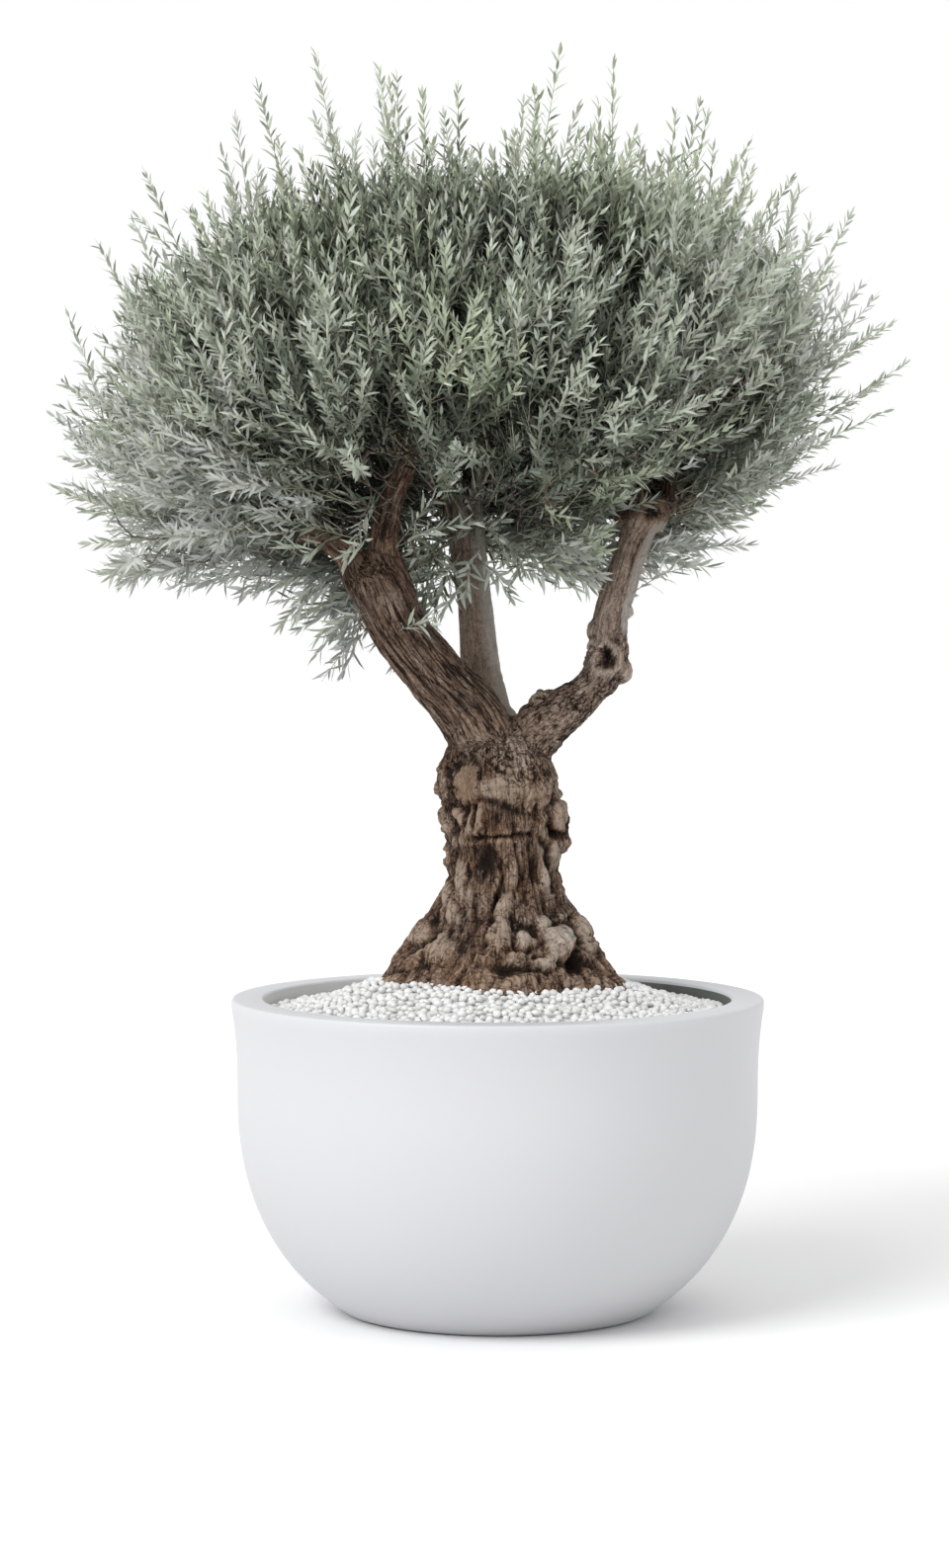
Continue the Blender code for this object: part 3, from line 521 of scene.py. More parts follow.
# What stands out on the front of the trunk: its middle (across, height), half width and half height, tilt in
# degrees, rise, depth of the moat round it, and how pale and how ochre it is
frontKnobs = (
    (-0.0705, 1.196, 0.025, 0.044, 0, 0.004, 0.009, 0.60, 1.30),   # smooth ochre scar
    (0.136, 1.118, 0.017, 0.030, 12, 0.015, 0.012, 0.40, 0.2),     # knob on the right edge
    (0.034, 1.180, 0.080, 0.026, -9, 0.013, 0.004, 0.15, 0.5),     # sagging roll under the fork
    (0.112, 1.192, 0.018, 0.020, 0, 0.006, 0.003, 0.45, 0.2),
    (-0.012, 1.196, 0.030, 0.012, 8, 0.003, 0.001, 0.40, 0.5),
    (-0.100, 1.165, 0.016, 0.020, 0, 0.009, 0.007, 0.20, 0.6),
    (-0.088, 1.122, 0.012, 0.022, 20, 0.008, 0.006, 0.40, 0.6),
    (-0.060, 1.118, 0.006, 0.036, 0, 0.006, 0.003, 0.55, 0.4),     # tendons under the scar
    (-0.042, 1.112, 0.007, 0.034, -6, 0.006, 0.003, 0.50, 0.4),
    # the next knob, the dark bulge between the creases, is dark partly as painted shade under the roll
    (0.045, 1.112, 0.070, 0.026, 0, 0.007, 0.001, 0.05, 0.0),      # dark bulge between the creases
    (0.014, 0.915, 0.018, 0.040, -8, 0.012, 0.006, 0.70, 0.5),     # pale root
    (0.004, 0.862, 0.027, 0.030, 0, 0.014, 0.005, 0.70, 0.6),
    (0.060, 0.857, 0.020, 0.018, 15, 0.012, 0.007, 0.75, 0.2),
    (0.140, 0.845, 0.030, 0.032, 0, 0.020, 0.010, 0.95, 0.0),      # grey root lobe
    (0.106, 0.878, 0.014, 0.028, 35, 0.012, 0.004, 0.80, 0.1),
    (0.104, 0.806, 0.036, 0.015, 0, 0.011, 0.006, 0.60, 0.2),
    (0.049, 0.818, 0.028, 0.013, 8, 0.008, 0.005, 0.55, 0.4),
    (0.192, 0.868, 0.032, 0.022, -20, 0.014, 0.006, 0.50, 0.1),
    (0.212, 0.832, 0.020, 0.014, -10, 0.008, 0.006, 0.35, 0.1),
    (-0.178, 0.868, 0.028, 0.022, 30, 0.014, 0.006, 0.40, 0.3),    # top of the left root
    (-0.140, 0.830, 0.045, 0.026, 25, 0.008, 0.004, 0.35, 0.4),
    (-0.075, 0.965, 0.016, 0.060, 8, 0.007, 0.004, 0.45, 0.4),
    (-0.110, 0.930, 0.015, 0.045, 16, 0.008, 0.004, 0.45, 0.3),
    (0.035, 0.985, 0.012, 0.045, 4, 0.006, 0.003, 0.50, 0.1),
    (0.105, 0.975, 0.012, 0.055, 14, 0.008, 0.003, 0.60, 0.1),
    (0.122, 1.040, 0.010, 0.032, 10, 0.008, 0.004, 0.45, 0.3),
    (-0.118, 1.020, 0.018, 0.030, 0, 0.010, 0.004, 0.20, 0.2),
)
# Dark creases, their darkness partly painted shade through the relief: points across and in height, half width
# and depth
frontCreases = (
    (((-0.034, 1.162), (0.000, 1.152), (0.036, 1.136), (0.072, 1.126), (0.104, 1.136)), 0.0060, 0.007),
    (((-0.020, 1.186), (0.020, 1.178), (0.060, 1.160), (0.094, 1.160)), 0.0030, 0.005),
    (((-0.064, 1.068), (-0.030, 1.079), (0.010, 1.080), (0.045, 1.084), (0.078, 1.080)), 0.0040, 0.011),
    (((0.070, 1.086), (0.092, 1.072), (0.106, 1.046), (0.112, 1.010), (0.120, 0.950)), 0.0042, 0.010),
    (((-0.066, 1.152), (-0.070, 1.090)), 0.0036, 0.009),
    (((-0.051, 1.150), (-0.050, 1.088)), 0.0034, 0.008),
    (((0.112, 1.140), (0.112, 1.105), (0.124, 1.082), (0.150, 1.074)), 0.0075, 0.013),
    (((-0.002, 0.945), (-0.016, 0.890), (-0.034, 0.825)), 0.0046, 0.012),
    (((0.030, 0.905), (0.036, 0.880), (0.078, 0.868)), 0.0065, 0.010),
    (((0.165, 0.880), (0.172, 0.840), (0.168, 0.790)), 0.0100, 0.016),
    (((-0.120, 0.890), (-0.150, 0.850), (-0.195, 0.820)), 0.0060, 0.009),
    (((-0.112, 1.230), (-0.104, 1.150), (-0.098, 1.080)), 0.0060, 0.011),
    (((-0.060, 1.010), (-0.066, 0.950), (-0.085, 0.880)), 0.0040, 0.007),
    (((0.010, 1.060), (0.006, 1.010), (0.016, 0.960)), 0.0040, 0.006),
    (((0.055, 1.040), (0.060, 0.990), (0.068, 0.930)), 0.0040, 0.006),
    (((-0.030, 1.255), (0.000, 1.225), (0.040, 1.222), (0.075, 1.235)), 0.0034, 0.007),
    (((0.020, 1.300), (0.022, 1.255), (0.050, 1.235)), 0.0034, 0.007),
    (((0.060, 1.300), (0.072, 1.260), (0.110, 1.250)), 0.0034, 0.006),
    (((-0.040, 0.802), (0.010, 0.790), (0.060, 0.794), (0.110, 0.786)), 0.0070, 0.008),
)
# Hollows: middle, half width, half height and depth
frontHollows = (
    (-0.024, 1.020, 0.024, 0.032, 0.012), (0.081, 1.006, 0.014, 0.024, 0.009),
    (0.022, 0.885, 0.008, 0.014, 0.007), (-0.088, 1.095, 0.012, 0.018, 0.008),
    (0.180, 0.795, 0.018, 0.020, 0.016), (0.020, 0.795, 0.020, 0.012, 0.010),
    (-0.045, 1.050, 0.014, 0.014, 0.006), (0.126, 1.080, 0.012, 0.010, 0.010),
)
# Patches of the trunk's front that are darker (below 0) or paler: middle, half width, half height, how much.
# Most darker ones lie in hollows and creases and under the roll: partly the bark's own tone, partly painted
# shade
frontTonesAndShade = (
    (0.026, 1.112, 0.070, 0.026, -0.75), (-0.017, 1.030, 0.036, 0.036, -0.35),
    (0.081, 1.030, 0.016, 0.035, -0.45), (-0.111, 1.254, 0.016, 0.034, -0.5),
    (-0.168, 0.880, 0.022, 0.016, -0.5), (0.175, 0.800, 0.022, 0.022, -0.9),
    (-0.120, 0.790, 0.100, 0.030, -0.25), (0.040, 1.265, 0.050, 0.055, 0.75),
    (-0.060, 1.300, 0.040, 0.050, 0.40), (0.000, 1.160, 0.060, 0.008, -0.5),
    (0.100, 1.215, 0.020, 0.016, -0.5), (0.010, 0.960, 0.040, 0.020, -0.3),
    (0.060, 0.930, 0.020, 0.030, -0.5), (-0.050, 0.860, 0.016, 0.050, -0.35),
    (0.128, 1.080, 0.016, 0.014, -0.6),
)
# What the other sides of the trunk carry, of the same kinds as its front: the ways they face in degrees, how
# many of each, and from what sizes to what
hiddenSides = {
    "facing": (0.0, 62.0, 125.0, 180.0), "knobs": 14, "creases": 11, "hollows": 5,
    "knobHeight": (0.80, 1.22), "knobWidth": (0.014, 0.036), "knobAcross": (-0.11, 0.11),
    "knobTall": (0.7, 1.9), "knobTilt": (-30, 30), "knobRise": (0.006, 0.016), "knobMoat": (0.003, 0.008),
    "knobPale": (0.2, 0.6), "knobOchre": (0, 0.6), "footBelow": 0.9, "footWider": 1.5,
    "creaseAcross": (-0.10, 0.10), "creaseHeight": (0.82, 1.20), "creaseLean": (-0.03, 0.03),
    "creaseTall": (0.02, 0.05), "creaseWidth": (0.004, 0.007), "creaseDepth": (0.006, 0.013),
    # level folds, at two heights
    "foldHeights": (1.15, 1.02), "foldAcross": (-0.04, 0.04), "foldWidth": 0.006, "foldDepth": 0.011,
    "foldLine": ((-0.05, 0), (-0.02, 0.012), (0.03, 0.008), (0.05, -0.01)),
    "hollowAcross": (-0.09, 0.09), "hollowHeight": (0.82, 1.12), "hollow": (0.018, 0.026, 0.011),
}
# On the boughs: middle (x, y, z), size, rise, and the size and depth of the hole in it
boughKnobs = (
    ((0.245, -0.040, 1.470), 0.026, 0.007, 0.019, 0.026),   # hollow knot
    ((0.240, -0.044, 1.486), 0.020, 0.004, 0.015, 0.020),
    ((0.288, 0.000, 1.442), 0.026, 0.014, 0.0, 0.0),
    ((0.084, -0.012, 1.394), 0.022, 0.017, 0.0, 0.0),       # burl on the right bough's shoulder
    ((0.108, -0.010, 1.404), 0.018, 0.012, 0.0, 0.0),
    ((0.060, 0.010, 1.376), 0.020, 0.006, 0.0, 0.0),
    ((0.128, -0.050, 1.322), 0.020, 0.003, 0.008, 0.014),
    ((0.173, -0.046, 1.364), 0.018, 0.002, 0.007, 0.012),
    ((0.292, -0.015, 1.578), 0.014, 0.012, 0.0, 0.0),       # stub
    ((0.212, 0.000, 1.540), 0.018, 0.008, 0.0, 0.0),
    ((0.206, -0.020, 1.500), 0.016, 0.007, 0.0, 0.0),
    ((0.343, -0.062, 1.797), 0.030, 0.004, 0.016, 0.020),   # hole in the sawn head
    ((-0.055, 0.105, 1.655), 0.016, 0.003, 0.0, 0.0),
    ((-0.235, -0.110, 1.600), 0.030, 0.006, 0.0, 0.0),
    ((-0.130, 0.050, 1.500), 0.026, 0.012, 0.008, 0.012),
    ((0.030, 0.080, 1.330), 0.030, 0.012, 0.010, 0.014),
)


def trunkShell():
    sides, rings = barkForm["trunkSides"], barkForm["trunkRings"]
    here = np.arange(sides)
    heights = np.linspace(trunkForm["foot"], trunkForm["top"], rings)
    angle, height = np.meshgrid(2 * np.pi * here / sides, heights)
    radius = trunkRadius(angle, height)
    points = np.stack((trunkCentre(height) + radius * np.cos(angle), radius * np.sin(angle), height), -1)
    last = (rings - 1) * sides
    walls = ringWalls(np.arange(rings - 1) * sides, sides)
    return points.reshape(-1, 3), [walls, here[None, ::-1], last + here[None]]


def thickRoot(line, stretch, thick, sunk):
    # a limb's first stretch, thickened to where it grows out of the wood before it
    far = np.concatenate(([0], np.cumsum(np.linalg.norm(np.diff(line[:, :3], axis=0), axis=1))))
    at = np.linspace(0, min(stretch, far[-1]), 8)
    path = np.stack([np.interp(at, far, line[:, i]) for i in range(3)], -1)
    path[0] -= (path[1] - path[0]) * sunk
    radii = line[0, 3] + (thick - line[0, 3]) * (1 - at / stretch) ** 1.5
    radii[0] = line[0, 3] * 0.95
    return path, radii


def domed(line):
    # a bough's end drawn out to a blunt dome, between the limbs that leave it
    tip, radius = line[-1, :3], line[-1, 3]
    axis = unit(tip - line[-2, :3])
    ends = [(*(tip + axis * radius * rise), radius * share) for rise, share in ((0.35, 0.86), (0.65, 0.5))]
    return np.vstack((line, ends))


def barkSkin():
    form = barkForm
    shells = [trunkShell()]
    for name, line in limbs.items():
        line = domed(line) if name in ("left", "rear", "right") else line
        shells.append(tubes(line[None, :, :3], line[None, :, 3], form["limbSides"]))
    roots = [thickRoot(line, *form["root"]) for line in branches.values()]
    roots += [thickRoot(limbs[name], *form["fork"]) for name in ("inner", "outer")]
    for path, radii in roots:
        shells.append(tubes(path[None], radii[None], form["rootSides"]))
    points, groups, count = [], [], 0
    for shellPoints, shellFaces in shells:
        points.append(shellPoints)
        groups += [group + count for group in shellFaces]
        count += len(shellPoints)
    skin = meshPiece("oldBark", np.vstack(points), groups, [])
    fuse = skin.modifiers.new("Fuse", "REMESH")
    fuse.mode = "VOXEL"
    fuse.voxel_size = form["voxel"]
    soften = skin.modifiers.new("Soften", "SMOOTH")
    soften.iterations = form["smoothing"]
    data = bpy.data.meshes.new_from_object(skin.evaluated_get(bpy.context.evaluated_depsgraph_get()))
    skin.modifiers.clear()
    skin.data = data
    return skin


def alongLimb(points, line):
    # each point's place on a limb: across it two ways, along it, and how far outside its surface
    starts, steps = line[:-1, :3], np.diff(line[:, :3], axis=0)
    away = points[:, None] - starts
    t = np.clip((away * steps).sum(2) / (steps**2).sum(1), 0, 1)
    gap = np.linalg.norm(away - t[..., None] * steps, axis=2)
    nearest = gap.argmin(1)
    rows = np.arange(len(points))
    t, gap = t[rows, nearest], gap[rows, nearest]
    lengths = np.linalg.norm(steps, axis=1)
    before = np.concatenate(([0], np.cumsum(lengths)))[nearest]
    radius = line[nearest, 3] * (1 - t) + line[nearest + 1, 3] * t
    # a frame carried along the limb, so that the grain doesn't turn
    frames = [Vector(steps[0]).orthogonal().normalized()]
    for first, second in zip(steps, steps[1:]):
        frames.append(Vector(first).rotation_difference(Vector(second)) @ frames[-1])
    frames = np.array(frames)[nearest]
    offset = away[rows, nearest] - t[:, None] * steps[nearest]
    ways = unit(steps)[nearest]
    return np.stack(((offset * frames).sum(1), (offset * np.cross(ways, frames)).sum(1),
                     before + t * lengths[nearest]), -1), gap - radius


def alongTrunk(points):
    centre = trunkCentre(np.clip(points[:, 2], trunkForm["foot"], trunkForm["top"]))
    x, y, z = points[:, 0] - centre, points[:, 1], points[:, 2]
    radius = trunkRadius(np.arctan2(y, x), np.minimum(z, trunkForm["top"]))
    gap = np.hypot(x, y) - radius + np.maximum(0, z - trunkForm["top"] + 0.03) * 1.5
    # laid out as on a straight post, so that the furrows run down onto the roots
    far = np.maximum(np.hypot(x, y), 0.03)
    return np.stack((0.13 * x / far, 0.13 * y / far, z - 0.8 * (far - 0.13)), -1), gap


def kindRelief(where, kind, shift):
    # furrows along the limb, cracks between plates, and lumps
    form = barkForm
    where = where + shift
    turns, along = kind["round"], kind["along"]
    warp = lineNoise(where, form["warpScale"])[:, None] * form["warp"]
    furrows = lineNoise(where + warp, (turns, turns, along))
    finerScale = (turns * form["finerRound"], turns * form["finerRound"], along * form["finerAlong"])
    finer = lineNoise(where + warp + 3.1, finerScale)
    height = -kind["furrow"] * np.exp(-((furrows / form["furrowWidth"]) ** 2))
    height -= form["finerShare"] * kind["furrow"] * np.exp(-((finer / form["finerWidth"]) ** 2))
    many = kind["plates"]
    plates = (where + warp * form["plateWarp"]) * (many, many, many * form["plateLong"])
    edges = np.array([distances[1] - distances[0] for distances, _ in map(noise.voronoi, plates.tolist())])
    cracks = -kind["crack"] * np.exp(-((edges / form["crackWidth"]) ** 2))
    cracks += kind["crack"] * form["gritShare"] * lineNoise(where + 7.7, form["gritScale"])
    lumps = lineNoise(where, form["lumpScale"])
    lumps = kind["lump"] * (lumps + form["lumpletShare"] * lineNoise(where + 1.3, form["lumpletScale"]))
    return height + form["meanFurrow"] * kind["furrow"], cracks, lumps


def polylineGap(across, height, points):
    best = np.full(len(across), 9.0)
    for (x0, z0), (x1, z1) in zip(points, points[1:]):
        dx, dz = x1 - x0, z1 - z0
        t = np.clip(((across - x0) * dx + (height - z0) * dz) / (dx * dx + dz * dz), 0, 1)
        best = np.minimum(best, np.hypot(across - x0 - t * dx, height - z0 - t * dz))
    return best


def seededSide(dice):
    # knobs, creases and hollows for a side that the photograph doesn't show
    form = hiddenSides
    knobs, creases, hollows = [], [], []
    for _ in range(form["knobs"]):
        low = dice.uniform(*form["knobHeight"])
        wide = dice.uniform(*form["knobWidth"])
        across = dice.uniform(*form["knobAcross"]) * (form["footWider"] if low < form["footBelow"] else 1)
        tall = wide * dice.uniform(*form["knobTall"])
        keys = ("knobTilt", "knobRise", "knobMoat", "knobPale", "knobOchre")
        knobs.append((across, low, wide, tall, *(dice.uniform(*form[key]) for key in keys)))
    for _ in range(form["creases"]):
        keys = ("creaseAcross", "creaseHeight", "creaseLean", "creaseTall")
        x, z, lean, tall = (dice.uniform(*form[key]) for key in keys)
        line = ((x, z), (x + lean * 0.7, z - tall), (x + lean, z - 2 * tall))
        creases.append((line, dice.uniform(*form["creaseWidth"]), dice.uniform(*form["creaseDepth"])))
    for z in form["foldHeights"]:
        x = dice.uniform(*form["foldAcross"])
        fold = [(x + dx, z + dz) for dx, dz in form["foldLine"]]
        creases.append((fold, form["foldWidth"], form["foldDepth"]))
    for _ in range(form["hollows"]):
        middle = (dice.uniform(*form["hollowAcross"]), dice.uniform(*form["hollowHeight"]))
        hollows.append((*middle, *form["hollow"]))
    return knobs, creases, hollows


def carveSide(side, across, z, shown, uneven, height, pale, ochre):
    # works one side's knobs, creases and hollows into the three layers
    knobs, creases, hollows = side
    for x0, z0, wide, tall, tilt, rise, moat, paler, ochrer in knobs:
        c, s = math.cos(math.radians(tilt)), math.sin(math.radians(tilt))
        dx, dz = across - x0, z - z0
        far = np.minimum(np.hypot((dx * c + dz * s) / wide, (dz * c - dx * s) / tall), 4.0)
        top = np.exp(-(far**2.8))
        height += shown * (rise * top - moat * uneven * np.exp(-(((far - 1.35) / 0.20) ** 2)))
        pale += shown * top * (barkForm["knobPale"] * paler - pale)
        ochre += shown * top * (ochrer - ochre)
    for line, wide, deep in creases:
        # a crease, with a low lip on both sides of it
        far = polylineGap(across, z, line)
        height -= shown * deep * uneven * np.exp(-((far / wide) ** 2))
        height += shown * deep * 0.25 * np.exp(-(((far - 2.2 * wide) / wide) ** 2))
    for x0, z0, wide, tall, deep in hollows:
        far = np.hypot((across - x0) / wide, (z - z0) / tall)
        height -= shown * deep * uneven * np.exp(-(far**2))


def carveBoughs(points, sway, height):
    for middle, size, rise, hole, deep in boughKnobs:
        far = np.linalg.norm(points - middle, axis=1) + 0.5 * sway
        if hole:
            lip = rise * np.exp(-(((far - 1.5 * hole) / (0.45 * size)) ** 2))
            height += lip - deep * np.exp(-((far / hole) ** 4))
        else:
            moat = 0.25 * rise * np.exp(-(((far - 1.4 * size) / (0.3 * size)) ** 2))
            height += rise * np.exp(-((far / size) ** 2.6)) - moat


def strayed(points, shift):
    (much, scale), (less, finer) = barkForm["stray"]
    coarse = much * lineNoise(points + shift, (scale,) * 3)
    return coarse + less * lineNoise(points + (shift + 1), (finer,) * 3)


def carve(points, normals, height, pale, ochre):
    # what stands out on each side of the trunk and on the boughs, all a little out of true
    dice = np.random.default_rng(barkForm["seed"])
    front = (frontKnobs, frontCreases, frontHollows)
    sides = [(-90.0, front), *((degrees, seededSide(dice)) for degrees in hiddenSides["facing"])]
    sway, z = strayed(points, 5.0), points[:, 2] + strayed(points, 8.0)
    much, scale = barkForm["uneven"]
    uneven = 1 + much * lineNoise(points + 4.0, (scale,) * 3)
    under = np.clip((barkForm["featuresTop"] - points[:, 2]) / barkForm["featuresOver"], 0, 1)
    for degrees, side in sides:
        facing = math.radians(degrees)
        across = -math.sin(facing) * points[:, 0] + math.cos(facing) * points[:, 1] + sway
        facingness = normals[:, 0] * math.cos(facing) + normals[:, 1] * math.sin(facing)
        if side is front:
            shown = eased(facingness, *barkForm["frontShown"])
        else:
            # the other sides' features keep clear of the front's
            shown = eased(facingness, *barkForm["sideShown"]) * np.clip(1.4 + normals[:, 1] * 4, 0, 1)
        shown = shown * under
        carveSide(side, across, z, shown, uneven, height, pale, ochre)
        if side is front:
            # darker patches, partly painted shade in hollows and creases and under the roll, and paler ones
            for x0, z0, wide, tall, much in frontTonesAndShade:
                near = shown * np.exp(-(np.hypot((across - x0) / wide, (z - z0) / tall) ** 3))
                pale += near * (much if much < 0 else np.maximum(0, much - pale))
                height += 0.004 * near * (much > 0)
        else:
            pale -= 0.35 * shown * np.clip(lineNoise(points + degrees, (13, 13, 9)) * 2.5 - 0.3, 0, 1)
    carveBoughs(points, sway, height)
    return height, pale, ochre


def limbBark(name, where, points, normals, index):
    # a limb's fine relief, lumps, plates and paleness, and how they change along it
    kind = barkForm["kinds"][name]
    height, cracks, lump = kindRelief(where, kind, index * barkForm["shift"])
    form = barkForm
    plates, paler = kind["crack"] / form["fullCrack"], kind["pale"]
    # painted light on the wood that faces right
    rimLit = eased(normals[:, 0], *form["rimLitFrom"])
    if name == "trunk":
        # the old foot is fibrous, and the wood cracks into plates under the fork
        above = np.maximum(eased(points[:, 2], *form["platesFrom"]), form["platesLeast"])
        height = height * (form["footFurrows"] - form["platesSmoother"] * above)
        cracks, plates = cracks * above, 0.5 + 0.5 * above
    if name == "rear":
        # the rear bough is painted paler as it faces right: painted light
        paler = paler + form["rearRightLit"] * normals[:, 0] + form["rearRimLit"] * rimLit
    if name == "right":
        # its upper stretch is smoother and paler, with painted light where it faces right, and its sawn head is
        # dark
        upper = eased(points[:, 2], *form["smoothFrom"])
        paler = paler + upper * (form["upperPaler"] + form["upperRimLit"] * rimLit)
        paler = paler - form["headDarker"] * eased(points[:, 2], *form["headFrom"])
        height, cracks, plates = (part * (1 - less * upper)
                                  for part, less in zip((height, cracks, plates), form["upperSmoother"]))
    return height + cracks, lump, plates, paler


def ochreAt(points):
    # warmer at the foot and on the left bough's upper stretch
    ochre = 0.2 + 0.5 * lineNoise(points + 2.2, (6, 6, 4)) + np.clip(4.5 - 5 * points[:, 2], 0, 0.4)
    ochre += np.clip(6 * points[:, 2] - 9.8, 0, 0.35) * (points[:, 0] < -0.12)
    return np.clip(ochre, 0, barkForm["ochreMost"])


def workBark(skin):
    data = skin.data
    count = len(data.vertices)
    points, normals = np.empty(count * 3, np.float32), np.empty(count * 3, np.float32)
    data.vertices.foreach_get("co", points)
    data.vertices.foreach_get("normal", normals)
    points, normals = points.reshape(-1, 3).astype(float), normals.reshape(-1, 3).astype(float)
    places = {"trunk": alongTrunk(points)}
    for name, line in limbs.items():
        places[name] = alongLimb(points, line)
    gaps = np.stack([gap for where, gap in places.values()])
    least = gaps.min(0)
    weights = np.exp(-(((gaps - least) / barkForm["blend"]) ** 2)) * (gaps < least + barkForm["blendReach"])
    weights /= weights.sum(0)
    owner = weights.argmax(0)
    fine, lumps, pale, furrowed, plated = (np.zeros(count) for _ in range(5))
    grain = np.zeros((count, 3))
    for index, (name, (where, gap)) in enumerate(places.items()):
        some = np.flatnonzero(weights[index] > 0.02)
        share = weights[index][some]
        relief, lump, plates, paler = limbBark(name, where[some], points[some], normals[some], index)
        fine[some] += share * relief
        lumps[some] += share * lump
        plated[some] += share * plates
        pale[some] += share * paler
        furrowed[some] += share * barkForm["kinds"][name]["furrowed"]
        mine = owner == index
        grain[mine] = where[mine] + index * barkForm["shift"]
    # away from the limbs' own surfaces, as on the branches' roots, the relief dies out
    calm = np.clip(1 - (least - barkForm["calm"]) / barkForm["calm"], barkForm["calmLeast"], 1)
    height, pale, ochre = carve(points, normals, fine * calm, pale, ochreAt(points))
    # the trunk's paleness is uneven
    pale *= 1 + 0.5 * lineNoise(points + 12.0, (38, 38, 30)) * (owner == 0)
    points += normals * (height + lumps * calm)[:, None]
    data.vertices.foreach_set("co", points.astype(np.float32).ravel())
    data.update()
    for name, values in (("relief", 0.55 + height / barkForm["fullRelief"]), ("pale", pale), ("ochre", ochre),
                         ("furrowed", furrowed), ("plated", plated)):
        layer = data.attributes.new(name, "FLOAT", "POINT")
        layer.data.foreach_set("value", np.clip(values, -1 if name == "pale" else 0, 1).astype(np.float32))
    layer = data.attributes.new("grain", "FLOAT_VECTOR", "POINT")
    layer.data.foreach_set("vector", grain.astype(np.float32).ravel())
    data.polygons.foreach_set("use_smooth", np.ones(len(data.polygons), bool))


# How the bark looks
barkLook = {
    # noise, by its scale round and along a limb
    "grain": {
        "furrow": (70, 70, 5.5), "finer": (130, 130, 11), "streak": (120, 120, 17), "ring": (7, 7, 75),
        "pits": (260, 260, 170), "plates": (46, 46, 28), "wrinkle": (48, 48, 34), "grit": (115, 115, 95),
    },
    # how light the relief is, and how much lighter or darker each part makes it: the bark's own tone, with
    # painted shade in low places, furrows, cracks and wrinkles and painted light on the rises
    "base": 0.205, "reliefToneAndShade": 0.72,
    "shade": {"streak": 1.20, "pits": 0.90, "furrow": -0.54, "ring": 0.28, "crack": -0.45, "plated": 0.12,
              "wrinkle": -0.26, "platedGrit": 0.95, "sunken": 0.40},
    # how high each part stands, in metres
    "height": {"streak": 0.010, "pits": 0.008, "furrow": -0.0055, "crack": -0.007, "wrinkle": -0.005,
               "grit": 0.008},
    # colours from dark to light
    "brown": (
        (0.14, (0.011, 0.0055, 0.0035)), (0.34, (0.045, 0.023, 0.014)), (0.52, (0.120, 0.065, 0.040)),
        (0.70, (0.225, 0.136, 0.090)), (0.90, (0.40, 0.29, 0.215)),
    ),
    "grey": (
        (0.14, (0.014, 0.011, 0.009)), (0.38, (0.072, 0.057, 0.046)), (0.60, (0.190, 0.160, 0.135)),
        (0.85, (0.43, 0.385, 0.34)),
    ),
    "lit": (
        (0.18, (0.036, 0.023, 0.016)), (0.42, (0.220, 0.155, 0.118)), (0.65, (0.44, 0.34, 0.272)),
        (0.90, (0.63, 0.55, 0.48)),
    ),
    "warm": ((0.18, (0.045, 0.024, 0.014)), (0.45, (0.20, 0.115, 0.068)), (0.80, (0.42, 0.285, 0.185))),
    "scar": ((0.35, (0.31, 0.20, 0.125)), (0.65, (0.44, 0.31, 0.21))),
    # a whitish painted light for the palest wood, where it faces right
    "paintedRimLight": (0.60, 0.60, 0.57),
}


def barkParts(bark):
    # braided furrows, streaks and pits drawn out along the limbs, and rings across where they are smooth
    furrowed, plated = bark.attribute("furrowed"), bark.attribute("plated")
    grain = {name: bark.grain(scale) for name, scale in barkLook["grain"].items()}
    furrow = bark.thinLines(bark.speckle(1.0, 2.0, 0.5, 0.35, where=grain["furrow"]), 1.0, 0.034)
    finer = bark.thinLines(bark.speckle(1.0, 2.0, 0.5, 0.35, where=grain["finer"]), 0.6, 0.030)
    streak = bark.centred(bark.speckle(1.0, 6.0, 0.62, where=grain["streak"]))
    ring = bark.centred(bark.speckle(1.0, 3.0, 0.6, where=grain["ring"]))
    # cracks between the plates, in patches, and wrinkles and grit all over the trunk
    crack = bark.ramp(bark.cellEdges(bark.warped(grain["plates"], 1.3, 1.6)), (0.02, 1.0), (0.09, 0.0))
    patches = bark.ramp(bark.speckle(17.0, 3.0), (0.42, 0.0), (0.52, 1.0))
    wrinkle = bark.thinLines(bark.speckle(1.0, 3.0, 0.5, 0.8, where=grain["wrinkle"]), 1.0, 0.030)
    grit = bark.centred(bark.speckle(1.0, 4.0, 0.65, where=grain["grit"]))
    return {
        "furrow": bark.math(bark.math(furrow, "MAXIMUM", finer), "MULTIPLY", furrowed),
        "streak": bark.math(streak, "MULTIPLY", bark.math(bark.math(furrowed, "MULTIPLY", 0.7), "ADD", 0.35)),
        "ring": bark.math(ring, "MULTIPLY", bark.math(1.0, "SUBTRACT", furrowed)),
        "pits": bark.centred(bark.speckle(1.0, 5.0, 0.7, where=grain["pits"])),
        "crack": bark.math(bark.math(crack, "MULTIPLY", plated), "MULTIPLY", patches),
        "wrinkle": bark.math(wrinkle, "MULTIPLY", plated),
        "grit": grit,
        "platedGrit": bark.math(grit, "MULTIPLY", plated),
        "plated": plated,
        # the darker patches: partly the bark's own tone, partly painted shade
        "sunken": bark.math(bark.attribute("pale"), "MINIMUM", 0.0),
    }


